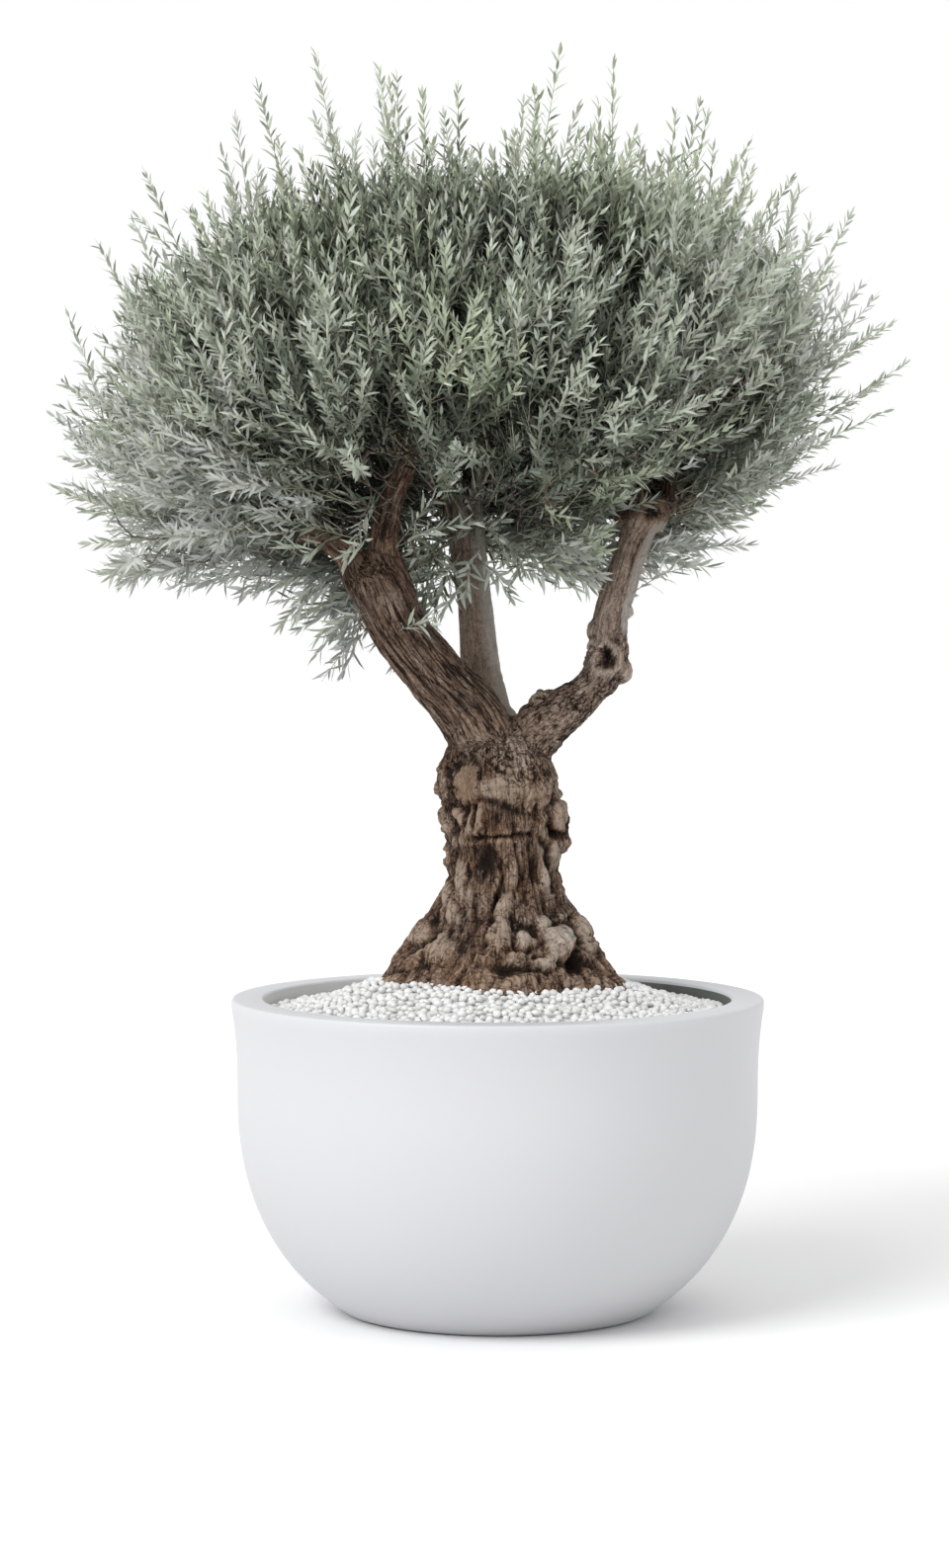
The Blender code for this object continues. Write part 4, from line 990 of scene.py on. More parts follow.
def barkFinish():
    look = barkLook
    bark = Finish("oldBarkFinish", 0.86, 0.22)
    relief, pale, ochre = (bark.attribute(name) for name in ("relief", "pale", "ochre"))
    parts = barkParts(bark)
    # lower relief paints the bark darker and higher relief paler: partly its own tone, partly painted shade in
    # the hollows and painted light on the rises
    shade = bark.math(bark.math(relief, "MULTIPLY", look["reliefToneAndShade"]), "ADD", look["base"])
    shade = bark.heaped(shade, parts, look["shade"])
    brown, grey, lit, warm = (bark.ramp(shade, *look[name]) for name in ("brown", "grey", "lit", "warm"))
    patch = bark.speckle(11.0, 4.0, 0.6)
    aged = bark.mixed(bark.ramp(patch, (0.46, 0.0), (0.64, 0.42)), brown, grey)
    # paler bark takes the lit colours: its own paler tone, and painted light where it faces right
    aged = bark.mixed(pale, aged, lit)
    # the palest wood, where it faces right, turns whitish: painted light
    aged = bark.mixed(bark.ramp(pale, (0.92, 0.0), (1.0, 0.55)), aged, look["paintedRimLight"])
    aged = bark.mixed(bark.math(ochre, "MULTIPLY", 0.55), aged, warm)
    scar = bark.ramp(patch, *look["scar"])
    bark.colour(bark.mixed(bark.ramp(ochre, (0.64, 0.0), (0.80, 0.85)), aged, scar))
    bark.bump(bark.heaped(0.0, parts, look["height"]), 1.0, 1.0)
    return bark.material


skin = barkSkin()
print("bark skin fused:", len(skin.data.polygons), "faces")
workBark(skin)
skin.data.materials.append(barkFinish())
place(skin, "old_bark", *nodesNamed("trunk", "bough_", "limb_"))
print("bark worked")

woodFinish = speckledFinish(
    "branchBarkFinish", 0.8, 0.3, (90.0, 4.0, 0.6),
    ((0.32, (0.050, 0.037, 0.028)), (0.52, (0.125, 0.098, 0.078)), (0.70, (0.24, 0.20, 0.165))), (0.6, 0.004),
)
branchLine = np.array(list(branches.values()))
branchPoints, branchFaces = tubes(branchLine[:, :, :3], branchLine[:, :, 3], branchForm["sides"])
place(meshPiece("branches", branchPoints, branchFaces, [woodFinish]), "branch_bark", *nodesNamed("branch_"))
print("branches drawn")


# Foliage: twigs from the branches' tips, finer wood to every spray, and leaves in pairs along the shoots
growth = {
    "seed": 7,
    "boughTwigs": {"low": 11, "mid": 11, "top": 12}, "boughTwigReach": 0.74, "hubRoom": 0.08,
    "twigLeast": 0.03, "twigMost": 0.6, "twigStep": 0.012,
    # one spray starts near each point of a loose grid through the crown
    "grid": 0.060, "gridLow": (1.05, 1.0, 0.75), "gridHigh": (1.05, 1.0, 0.85), "jitter": 0.45,
    "hollow": 0.42, "hollowTop": 0.08, "rootsMost": 0.95, "thinning": 0.04,
    # sparser in the outer valleys between masses
    "valley": 0.05, "valleyFrom": 0.74, "valleyChance": 0.6,
    # the crown's lower edge from left to right, as x and z, and how it thins out below
    "lowEdge": ((-1.0, 1.82), (-0.6, 1.79), (-0.42, 1.75), (-0.28, 1.70), (-0.2, 1.66), (0.15, 1.66),
                (0.25, 1.72), (0.6, 1.71), (0.75, 1.76), (0.95, 1.90)),
    "lowFade": 0.26, "lowLeast": 0.15,
    # more sprays hang low between the boughs and on the right: from where to where across, behind what and
    # below what
    "fillGrid": 0.055, "fills": ((-0.20, 0.17, -0.06, 1.80), (0.36, 0.80, -0.45, 1.90)),
    # the upper ends of two boughs stay in view from the front: their lines as x and z, the room round them,
    # and the share of shoots that keep out of it
    "windows": (
        ((-0.200, 1.500), (-0.265, 1.640), (-0.248, 1.765), (-0.228, 1.850)),
        ((0.253, 1.556), (0.285, 1.675), (0.318, 1.765), (0.332, 1.800)),
    ),
    "windowRoom": 0.055, "windowShare": 0.90,
    # how near the crown's outline the dense foliage comes, by the angle in the front view, and towards the
    # front and back; uneven in clumps, and with a share of loose shoots that reach on beyond it
    "body": ((-180, 0.77), (-165, 0.86), (-150, 0.87), (-134, 0.80), (-115, 0.80), (-98, 0.88), (-85, 0.94),
             (-60, 0.86), (-40, 0.80), (-20, 0.78), (-8, 0.74), (8, 0.74), (20, 0.72), (35, 0.64), (60, 0.54),
             (90, 0.51), (120, 0.54), (135, 0.57), (150, 0.61), (165, 0.66), (180, 0.75)),
    "bodyDeep": 0.78, "clump": 0.16, "clumpScale": 4.6, "inset": 0.05,
    "looseShare": 0.17, "looseTop": 0.08, "loose": 0.12, "slack": 0.08,
    "length": (0.20, 0.38), "longer": 1.25,
    "sides": 2, "sidesAbove": 0.12, "sideFrom": (0.12, 0.50), "sideLength": (0.55, 0.85), "sideLean": 0.62,
    "astray": 0.38, "lift": 0.76, "curl": 0.35, "bend": 0.20,
    "heart": np.array((-0.055, 0.02, 1.76)),
    # how far twigs, sprays' roots, leaves' roots and leaves' tips keep from the limbs
    "limbRoom": 0.006, "rootRoom": 0.03, "leafRoom": 0.001, "tipRoom": 0.002,
    # the height over which shoots turn upward, from level or hanging ones at the lower edge
    "levelAt": 1.72, "upwardOver": 0.34,
    # the crown's share that leaves keep within, but for those of the shoots with more reach than this
    "outermost": 1.01, "spearReach": 1.05,
    # tips of the longest shoots, as x, y and z
    "spears": (
        (-0.533, -0.10, 2.756), (-0.409, 0.02, 2.843), (-0.224, -0.14, 2.775), (-0.090, 0.06, 2.775),
        (0.083, -0.06, 2.757), (0.140, 0.05, 2.859), (0.261, -0.05, 2.815), (0.458, 0.03, 2.742),
        (-1.001, -0.10, 1.864), (-0.971, 0.05, 1.997), (-0.968, -0.06, 2.262), (-0.933, -0.12, 1.732),
        (-0.794, 0.02, 2.580), (-0.900, 0.00, 2.420), (0.889, 0.04, 2.052), (0.884, -0.03, 2.244),
        (0.873, 0.10, 2.118), (0.817, -0.05, 2.328), (0.661, 0.02, 2.569), (0.560, -0.08, 2.640),
        (-0.10, 0.72, 2.62), (0.35, 0.62, 2.60), (-0.45, 0.60, 2.64), (0.05, -0.66, 2.66), (-0.30, -0.62, 2.60),
        (0.10, 0.40, 2.80), (-0.25, 0.35, 2.82),
    ),
    # finer wood starts from this share of a twig on, at one of so many places, and reaches back as little as
    # it can
    "linkFrom": 0.25, "linkPlaces": 10, "linkBow": 0.7, "linkBack": 0.35, "linkSlack": 0.03,
    "spearLength": 0.34, "spearLeaf": 0.035, "shortest": 0.06, "shortestSide": 0.05,
    # single sprigs that stand out before the boughs: root and tip
    "sprigs": (
        ((-0.226, -0.100, 1.722), (-0.098, -0.160, 1.868)), ((-0.226, -0.100, 1.722), (-0.048, -0.190, 1.775)),
        ((-0.215, -0.090, 1.905), (-0.335, -0.210, 1.690)), ((-0.255, -0.100, 1.790), (-0.365, -0.230, 1.845)),
        ((0.300, -0.040, 1.620), (0.425, -0.120, 1.682)), ((0.318, -0.045, 1.700), (0.470, -0.090, 1.745)),
        ((-0.225, -0.105, 1.535), (-0.148, -0.170, 1.553)), ((-0.278, -0.090, 1.580), (-0.395, -0.170, 1.525)),
        ((0.320, -0.060, 1.820), (0.215, -0.170, 1.990)), ((-0.060, 0.120, 1.640), (-0.125, -0.010, 1.580)),
        ((-0.050, 0.110, 1.700), (0.030, -0.040, 1.610)), ((-0.062, 0.110, 1.660), (-0.175, 0.020, 1.660)),
        ((-0.050, 0.120, 1.790), (-0.085, -0.040, 1.850)), ((-0.045, 0.120, 1.810), (0.020, -0.030, 1.870)),
        ((-0.055, 0.120, 1.750), (-0.120, -0.020, 1.770)), ((-0.055, 0.120, 1.770), (0.000, -0.020, 1.745)),
        ((-0.058, 0.115, 1.700), (-0.070, -0.040, 1.625)),
    ),
}
leafForm = {
    "length": 0.041, "width": 0.0074, "spacing": 0.0165, "bare": 0.10, "spreadRoot": 0.92, "spreadTip": 0.46,
    "fold": 0.25, "bend": (-0.10, 0.30), "twist": 0.50, "fewestPairs": 3,
    "spreadStray": 0.18, "rollStray": 0.25, "lengthShare": (0.78, 1.12), "widthShare": (0.85, 1.12),
    # where along the blade its widths stand; the leaves deep inside have one width only
    "outer": ((0.30, 1.0), (0.66, 0.85)), "inner": ((0.45, 1.0),), "innerDepth": 0.58, "mostInPiece": 48000,
    # the sprays at the crown's lower edge have larger leaves
    "lowLarger": 0.35, "lowFrom": 1.90, "lowTo": 1.66,
}
# leaves in three hues of the same five shades: grey-green all over, fresher in the middle, greyer at the sides
leafColours = {
    "leafShade": (0.031, 0.039, 0.027), "leafDeep": (0.102, 0.121, 0.091), "leafSage": (0.240, 0.272, 0.214),
    "leafPale": (0.412, 0.452, 0.371), "leafSilver": (0.590, 0.626, 0.569),
    "freshShade": (0.031, 0.041, 0.025), "freshDeep": (0.105, 0.127, 0.087), "freshSage": (0.244, 0.286, 0.201),
    "freshPale": (0.416, 0.469, 0.348), "freshSilver": (0.590, 0.631, 0.538),
    "greyShade": (0.066, 0.071, 0.064), "greyDeep": (0.160, 0.169, 0.154), "greySage": (0.310, 0.322, 0.297),
    "greyPale": (0.475, 0.488, 0.455), "greySilver": (0.645, 0.656, 0.625),
}
# a leaf's shade, from 0 at the darkest
leafTones = {
    "base": 1.42,
    # how far sprays, shoots and patches of the crown stray from it
    "spray": 0.45, "shoot": 0.20, "patch": 1.7, "patchScale": 7.0,
    # painted shade deep in the dense foliage, paler outward; paler along each shoot; and paler to the sides, to
    # the right, at the crown's lower edge and at its top, as painted light
    "bodyMost": 0.78, "riseLimits": (-0.4, 0.12), "rise": 10.5, "along": 1.3, "aside": 2.1, "right": 0.4,
    "low": 1.7, "lowFrom": 1.95, "lowOver": 0.3, "top": 1.3, "topFrom": 2.25, "topOver": 0.4,
    # an underside that shows is one shade paler, unless it lies deep
    "under": -0.15, "underRise": -0.12,
    # the hue: fresher in the middle, greyer to the sides, to front and back, and below
    "hueScale": 3.0, "hueStray": 0.12, "hueBack": 0.6, "hueLow": 0.65, "hueLowOver": 0.25,
    "freshRoom": 0.55, "freshLeast": 0.15, "greyFrom": 0.85, "shades": 5,
}
# steps, sides and the thickness at root and tip; the finer wood is thicker the more sprays it bears
twigForm = {
    "twigs": (6, 5, 0.0080, 0.0034), "shoots": (2, 3, 0.0015, 0.0007),
    "linkSteps": 2, "linkSides": 3, "linkThick": 0.0011, "linkPower": 0.42, "linkTaper": 1.1,
}
rng = np.random.default_rng(growth["seed"])


def limbSegments(lines):
    starts = np.vstack([line[:-1, :3] for line in lines])
    steps = np.vstack([line[1:, :3] - line[:-1, :3] for line in lines])
    radii = np.concatenate([np.maximum(line[:-1, 3], line[1:, 3]) for line in lines])
    return starts, steps, radii


trunkHeights = np.linspace(trunkForm["foot"], trunkForm["top"], 12)
trunkLine = np.stack((trunkCentre(trunkHeights), 0 * trunkHeights, trunkHeights,
                      trunkRadius(0 * trunkHeights + 1.5, trunkHeights)), -1)
thickSegments = limbSegments([trunkLine, *limbs.values()])


def roomToLimbs(points):
    starts, steps, radii = thickSegments
    room = np.empty(len(points))
    for first in range(0, len(points), 20000):
        away = points[first : first + 20000, None] - starts
        t = np.clip((away * steps).sum(2) / (steps**2).sum(1), 0, 1)
        room[first : first + 20000] = (np.linalg.norm(away - t[..., None] * steps, axis=2) - radii).min(1)
    return room


def massOf(points):
    # the mass whose centre is nearest, and how far the border to the next one is
    gaps = np.linalg.norm(points[:, None] - massPoints, axis=2)
    nearest = np.argsort(gaps, axis=1)[:, :2]
    rows = np.arange(len(points))
    return nearest[:, 0], (gaps[rows, nearest[:, 1]] - gaps[rows, nearest[:, 0]]) / 2


def pathPoint(twigs, who, t):
    # a twig's heading turns evenly from its first to its last
    t = np.asarray(t)[:, None]
    first, last, length = twigs["first"][who], twigs["last"][who], twigs["length"][who, None]
    return twigs["root"][who] + length * (first * (t - t * t / 2) + last * t * t / 2)


def pathWay(twigs, who, t):
    t = np.asarray(t)[:, None]
    return unit(twigs["first"][who] * (1 - t) + twigs["last"][who] * t)


def kept(twigs, keep):
    return {key: values[keep] for key, values in twigs.items()}


def together(*groups):
    return {key: np.concatenate([group[key] for group in groups]) for key in groups[0]}


def reaching(root, lead, end, bow=1.0):
    # a twig that leaves its root along the lead and comes in at its end
    span = end - root
    length = np.linalg.norm(span, axis=-1, keepdims=True) * 1.02 + 1e-4
    first = unit(unit(span) + lead * bow)
    return {"root": root, "first": first, "last": 2 * span / length - first, "length": length[..., 0]}


def boughTwigs():
    # the source's rule: twigs spread evenly over the outer side of each mass, from its branch's tip
    found = []
    for index, name in enumerate(massNames):
        start, heading = entries[name]
        centre = centres[name]
        # the hub they spread from: the mass's centre, or nearer the branch where the foliage stays lower
        for share in np.linspace(1, 0.1, 10):
            hub = (start + (centre - start) * share)[None]
            if crownShare(hub)[0] < localReach(hub, clumpAt(hub))[0] - growth["hubRoom"]:
                break
        stretch = np.linalg.norm(hub[0] - start)
        count = growth["boughTwigs"][name.split("_")[0]]
        k = np.arange(count)
        z = 1 + (crownForm["twigSpreadEdge"] - 1) * k / (count - 1)
        r = np.sqrt(1 - z * z)
        ways = np.stack((r * np.cos(k * goldenAngle), r * np.sin(k * goldenAngle), z), -1)
        ways += rng.uniform(-crownForm["astray"], crownForm["astray"], ways.shape) * (k > 0)[:, None]
        turn = np.array(Vector(unit(centre - crownForm["centre"])).to_track_quat("Z", "Y").to_matrix())
        ways = unit(ways @ turn.T + up * crownForm["upwardPull"])
        far = np.full(count, growth["twigLeast"])
        free = np.ones(count, bool)
        for step in np.arange(growth["twigStep"], growth["twigMost"], growth["twigStep"]):
            points = hub + ways * step
            dense = localReach(points, clumpAt(points)) - growth["hubRoom"]
            free &= crownShare(points) < np.minimum(growth["boughTwigReach"], dense)
            free &= massOf(points)[0] == index
            free &= roomToLimbs(points) > growth["limbRoom"]
            far[free] = step
        root = start + heading * (0.01 + min(0.10, 0.5 * stretch) * ((k * 0.618) % 1))[:, None]
        root[0] = start
        made = reaching(root, np.tile(heading, (count, 1)), hub + ways * far[:, None])
        made["mass"] = np.full(count, index)
        found.append(made)
    return together(*found)


def clumpAt(points):
    # above 0 where the foliage stands in a clump and below 0 in the hollows between
    return np.clip(2.2 * lineNoise(points + 31.7, (growth["clumpScale"],) * 3), -1, 1)


def localReach(points, clump):
    ways = unit(points - crownForm["centre"])
    body = np.interp(np.degrees(np.arctan2(ways[:, 2], ways[:, 0])), *zip(*growth["body"]))
    body += (np.maximum(body, growth["bodyDeep"]) - body) * ways[:, 1] ** 2
    return body + growth["clump"] * (np.minimum(clump, 0.45) + 0.1)


def sprayRoots():
    # a loose grid of points through the crown, thinner at its lower edge and between clumps
    low, high = crownForm["centre"] - growth["gridLow"], crownForm["centre"] + growth["gridHigh"]
    found = []
    for step in (growth["grid"], growth["fillGrid"]):
        axes = [np.arange(low[i], high[i], step) for i in range(3)]
        points = np.stack(np.meshgrid(*axes, indexing="ij"), -1).reshape(-1, 3)
        found.append(points + rng.uniform(-growth["jitter"], growth["jitter"], points.shape) * step)
    for left, right, nearest, top in growth["fills"]:
        fill = found[1]
        between = (fill[:, 0] > left) & (fill[:, 0] < right) & (fill[:, 1] > nearest) & (fill[:, 2] < top)
        found.append(fill[between])
    points = np.vstack((found[0], *found[2:]))
    share = crownShare(points)
    high = np.clip(unit(points - crownForm["centre"])[:, 2], 0, 1)
    within = share > growth["hollow"] + (growth["hollowTop"] - growth["hollow"]) * high
    within &= share < growth["rootsMost"]
    points, share = points[within], share[within]
    mass, border = massOf(points)
    clump = clumpAt(points)
    reach = localReach(points, clump)
    chance = np.full(len(points), 1 - growth["thinning"])
    chance[(border < growth["valley"]) & (share > growth["valleyFrom"])] *= growth["valleyChance"]
    chance *= lowChance(points)
    chance *= np.where(share > 0.7, np.clip(1 + 0.6 * clump, 0.4, 1), 1)
    keep = (share < reach - growth["inset"]) & (rng.uniform(0, 1, len(points)) < chance)
    keep &= roomToLimbs(points) > growth["rootRoom"]
    return points[keep], mass[keep], reach[keep]


def lowChance(points):
    edge = np.interp(points[:, 0], *zip(*growth["lowEdge"]))
    return np.clip(1 - (edge - points[:, 2]) / growth["lowFade"], growth["lowLeast"], 1)


def headings(points):
    # outward and upward, level at the crown's lower edge
    out = unit(points - growth["heart"])
    high = np.clip((points[:, 2] - growth["levelAt"]) / growth["upwardOver"], -0.5, 1)[:, None]
    astray = rng.normal(0, growth["astray"], points.shape)
    first = unit(out + up * growth["lift"] * high + astray)
    return first, unit(out * 0.6 + up * (growth["lift"] + 0.5) * high)


def linkUp(twigs, points, mass):
    # each spray's root is joined to the nearest wood that lies nearer its mass's branch
    order = np.zeros(0, int)
    parent = np.full(len(points), -1)
    root, lead = np.zeros_like(points), np.zeros_like(points)
    places = np.linspace(growth["linkFrom"], 1.0, growth["linkPlaces"])
    for index, name in enumerate(massNames):
        mine = np.flatnonzero(mass == index)
        if not len(mine):
            continue
        start = entries[name][0]
        own = np.flatnonzero(twigs["mass"] == index)
        who, t = np.repeat(own, len(places)), np.tile(places, len(own))
        wood = pathPoint(twigs, who, t)
        ways = pathWay(twigs, who, t)
        label = np.full(len(wood), -1)
        far = np.linalg.norm(wood - start, axis=1)
        reach = np.linalg.norm(points[mine] - start, axis=1)
        mine = mine[np.argsort(reach)]
        for k in mine:
            away = np.linalg.norm(points[k] - start)
            back = np.maximum(0, far - away + growth["linkSlack"])
            gap = np.linalg.norm(wood - points[k], axis=1) + growth["linkBack"] * back
            best = int(np.argmin(gap))
            root[k], lead[k], parent[k] = wood[best], ways[best], label[best]
            wood = np.vstack((wood, points[k]))
            ways = np.vstack((ways, unit(points[k] - root[k])))
            label = np.append(label, k)
            far = np.append(far, away)
        order = np.concatenate((order, mine))
    links = reaching(root, lead, points, growth["linkBow"])
    bearing = np.ones(len(points))
    for k in order[::-1]:
        if parent[k] >= 0:
            bearing[parent[k]] += bearing[k]
    return links, bearing


def inWindow(points):
    gaps = [polylineGap(points[:, 0], points[:, 2], line) for line in growth["windows"]]
    return (points[:, 1] < -0.04) & (np.min(gaps, axis=0) < growth["windowRoom"])


def trimmed(shoots, least, samples=8):
    # shortens each shoot to where it stays in the crown, clear of the limbs and of the view on them
    count = len(shoots["length"])
    who = np.arange(count)
    fits = np.ones(count, bool)
    share = np.zeros(count)
    free = rng.uniform(0, 1, count) > growth["windowShare"]
    for k in range(samples + 1):
        points = pathPoint(shoots, who, np.full(count, k / samples))
        fits &= (crownShare(points) < shoots["reach"]) & (roomToLimbs(points) > growth["limbRoom"])
        fits &= free | ~inWindow(points)
        share[fits] = k / samples
    shoots["length"] = shoots["length"] * share
    return kept(shoots, shoots["length"] > least)


def sideShoots(shoots):
    # shoots that leave a main one on its lower half and turn back to its line
    who = np.repeat(np.flatnonzero(shoots["length"] > growth["sidesAbove"]), growth["sides"])
    count = len(who)
    t = rng.uniform(*growth["sideFrom"], count)
    stalk = pathWay(shoots, who, t)
    across = unit(np.cross(stalk, unit(rng.normal(0, 1, (count, 3)))))
    first = unit(stalk + across * growth["sideLean"] * rng.uniform(0.7, 1.3, (count, 1)))
    return {
        "root": pathPoint(shoots, who, t), "first": first,
        "last": unit(first * 0.6 + shoots["last"][who] * 0.6),
        "length": shoots["length"][who] * rng.uniform(*growth["sideLength"], count),
        "reach": np.minimum(shoots["reach"][who], shoots["body"][who] + rng.uniform(-0.05, 0.10, count)),
        "body": shoots["body"][who], "mass": shoots["mass"][who], "spray": shoots["spray"][who],
    }


def sprayShoots(points, mass, reach, links):
    # one shoot from each spray's root; some are loose and reach on beyond the dense foliage
    count = len(points)
    first, last = headings(points)
    loose = rng.uniform(-growth["slack"], 0.01, count)
    high = eased(unit(points - crownForm["centre"])[:, 2], 0.3, 0.4)
    wildShare = growth["looseShare"] + (growth["looseTop"] - growth["looseShare"]) * high
    wild = rng.uniform(0, 1, count) < wildShare
    loose[wild] = rng.exponential(growth["loose"], wild.sum()) + 0.02
    loose = np.minimum(loose, 1 - reach)
    return {
        "root": points, "first": unit(first + pathWay(links, np.arange(count), np.ones(count)) * 0.25),
        "last": unit(first + last * growth["curl"] * 2 + rng.normal(0, growth["bend"], (count, 3))),
        "length": rng.uniform(*growth["length"], count) * np.where(wild, growth["longer"], 1),
        "reach": reach + loose, "body": reach, "mass": mass, "spray": np.arange(count),
    }


def marked(twigs, reach, body, mass, number):
    # what every shoot carries: its reach, where the dense foliage ends there, its mass and its spray's number
    count = len(mass)
    return {
        **twigs, "last": unit(twigs["last"]), "mass": mass, "spray": number + np.arange(count),
        "reach": np.full(count, reach), "body": np.full(count, body),
    }


def spearShoots(points, number):
    # the longest shoots, each from the nearest root below its tip
    tips = np.array(growth["spears"])
    upright = np.clip((tips[:, 2] - 1.7) / 0.5, 0, 1.2)[:, None]
    lean = unit(unit(tips - growth["heart"]) * 0.8 + up * 0.9 * upright)
    wanted = tips - lean * growth["spearLength"]
    roots = np.array([points[np.argmin(np.linalg.norm(points - place, axis=1))] for place in wanted])
    spears = reaching(roots, unit(tips - roots), tips - lean * growth["spearLeaf"])
    return marked(spears, 1.1, 0.7, massOf(roots)[0], number)


def sprigShoots(number):
    roots, ends = np.array(growth["sprigs"]).transpose(1, 0, 2)
    sprigs = reaching(roots, unit(ends - roots) * 0.5 + up * 0.4, ends)
    return marked(sprigs, 1.2, 0.6, massOf(ends)[0], number)


def growFoliage():
    twigs = boughTwigs()
    points, mass, reach = sprayRoots()
    # and a spray at the end of each of the mass's own twigs, of which few stay below the lower edge
    ends = pathPoint(twigs, np.arange(len(twigs["mass"])), np.ones(len(twigs["mass"])))
    stays = rng.uniform(0, 1, len(ends)) < lowChance(ends)
    twigs, ends = kept(twigs, stays), ends[stays]
    points, mass = np.vstack((points, ends)), np.concatenate((mass, twigs["mass"]))
    reach = np.concatenate((reach, np.maximum(localReach(ends, clumpAt(ends)), crownShare(ends) + 0.12)))
    links, bearing = linkUp(twigs, points, mass)
    shoots = trimmed(sprayShoots(points, mass, reach, links), growth["shortest"])
    spears = spearShoots(points, len(points))
    sprigs = sprigShoots(len(points) + len(growth["spears"]))
    main = together(shoots, spears, sprigs)
    sides = trimmed(sideShoots(main), growth["shortestSide"])
    return twigs, links, bearing, together(main, sides)


def woodyTubes(twigs, steps, thick, tip, sides):
    count = len(twigs["length"])
    who = np.repeat(np.arange(count), steps + 1)
    t = np.tile(np.linspace(0, 1, steps + 1), count)
    paths = pathPoint(twigs, who, t).reshape(count, steps + 1, 3)
    t = np.linspace(0, 1, steps + 1)
    radii = np.reshape(thick, (-1, 1)) * (1 - t) + np.reshape(tip, (-1, 1)) * t
    return tubes(paths, np.broadcast_to(radii, (count, steps + 1)), sides)


def leafArrays(shoots):
    count = len(shoots["length"])
    pairs = np.round(shoots["length"] / leafForm["spacing"] * (1 - leafForm["bare"]))
    pairs = np.maximum(leafForm["fewestPairs"], pairs).astype(int)
    who = np.repeat(np.arange(count), pairs)
    order = np.arange(len(who)) - np.repeat(np.cumsum(pairs) - pairs, pairs)
    t = leafForm["bare"] + (1 - leafForm["bare"]) * (order + 0.6) / pairs[who]
    who, order, t = (np.repeat(values, 2) for values in (who, order, t))
    flip = np.tile((0, 1), len(who) // 2)
    start = rng.uniform(0, 2 * np.pi, count)
    roll = start[who] + order * (np.pi / 2 + 0.12) + flip * np.pi
    roll = roll + rng.uniform(-leafForm["rollStray"], leafForm["rollStray"], len(who))
    # and one leaf at each tip
    who = np.concatenate((who, np.arange(count)))
    t = np.concatenate((t, np.ones(count)))
    roll = np.concatenate((roll, start))
    atTip = np.concatenate((np.zeros(len(flip), bool), np.ones(count, bool)))
    root, stalk = pathPoint(shoots, who, t), pathWay(shoots, who, t)
    across = unit(np.cross(stalk, unit(np.array((0.21, 0.13, 0.97)))))
    side = across * np.cos(roll)[:, None] + np.cross(stalk, across) * np.sin(roll)[:, None]
    spread = leafForm["spreadRoot"] + (leafForm["spreadTip"] - leafForm["spreadRoot"]) * t
    spread = spread + rng.uniform(-leafForm["spreadStray"], leafForm["spreadStray"], len(t))
    spread = spread * np.where(atTip, 0.15, 1.0)
    way = stalk * np.cos(spread)[:, None] + side * np.sin(spread)[:, None]
    face = unit(stalk - (stalk * way).sum(1)[:, None] * way + side * 0.02)
    twist = rng.normal(0, leafForm["twist"], len(t))[:, None]
    face = unit(face * np.cos(twist) + np.cross(way, face) * np.sin(twist))
    low = np.clip((leafForm["lowFrom"] - root[:, 2]) / (leafForm["lowFrom"] - leafForm["lowTo"]), 0, 1)
    # shorter toward both ends of the shoot
    length = leafForm["length"] * rng.uniform(*leafForm["lengthShare"], len(t))
    length = length * (0.62 + 1.35 * t * (1 - t) + 0.08 * t)
    length *= 1 + leafForm["lowLarger"] * low
    width = leafForm["width"] * rng.uniform(*leafForm["widthShare"], len(t))
    width = width * (0.55 + 0.45 * length / leafForm["length"])
    bend = rng.uniform(*leafForm["bend"], len(t))
    return {
        "who": who, "t": t, "root": root, "way": way, "face": face, "bend": bend,
        "length": length, "width": width,
    }


def leafMesh(leaves, stations):
    # each leaf has its root, a pair of points across the blade at each station, and its tip
    way, face = leaves["way"], leaves["face"]
    side = np.cross(way, face)
    length, width, bend = (leaves[key][:, None] for key in ("length", "width", "bend"))

    def spine(t):
        return leaves["root"] + way * length * t - face * length * bend * t * t

    points = [spine(0.0)]
    for t, share in stations:
        half = 0.5 * width * share
        for sign in (1, -1):
            points.append(spine(t) + side * half * sign + face * half * leafForm["fold"])
    points.append(spine(1.0))
    points = np.stack(points, 1)
    corners = [(0, 2, 1)]
    for k in range(1, 2 * len(stations) - 1, 2):
        corners += [(k, k + 1, k + 3), (k, k + 3, k + 2)]
    last = 2 * len(stations)
    corners.append((last - 1, last, last + 1))
    faces = (np.arange(len(points)) * (last + 2))[:, None, None] + np.array(corners)
    return points.reshape(-1, 3), faces.reshape(-1, 3)


def leavesThatFit(leaves, shoots):
    # leaves keep within the crown, but for the longest shoots' own, and clear of the limbs
    tips = leaves["root"] + leaves["way"] * leaves["length"][:, None]
    spear = shoots["reach"][leaves["who"]] > growth["spearReach"]
    keep = (crownShare(tips) < growth["outermost"]) | spear
    keep &= (roomToLimbs(tips) > growth["tipRoom"]) & (roomToLimbs(leaves["root"]) > growth["leafRoom"])
    return kept(leaves, keep)


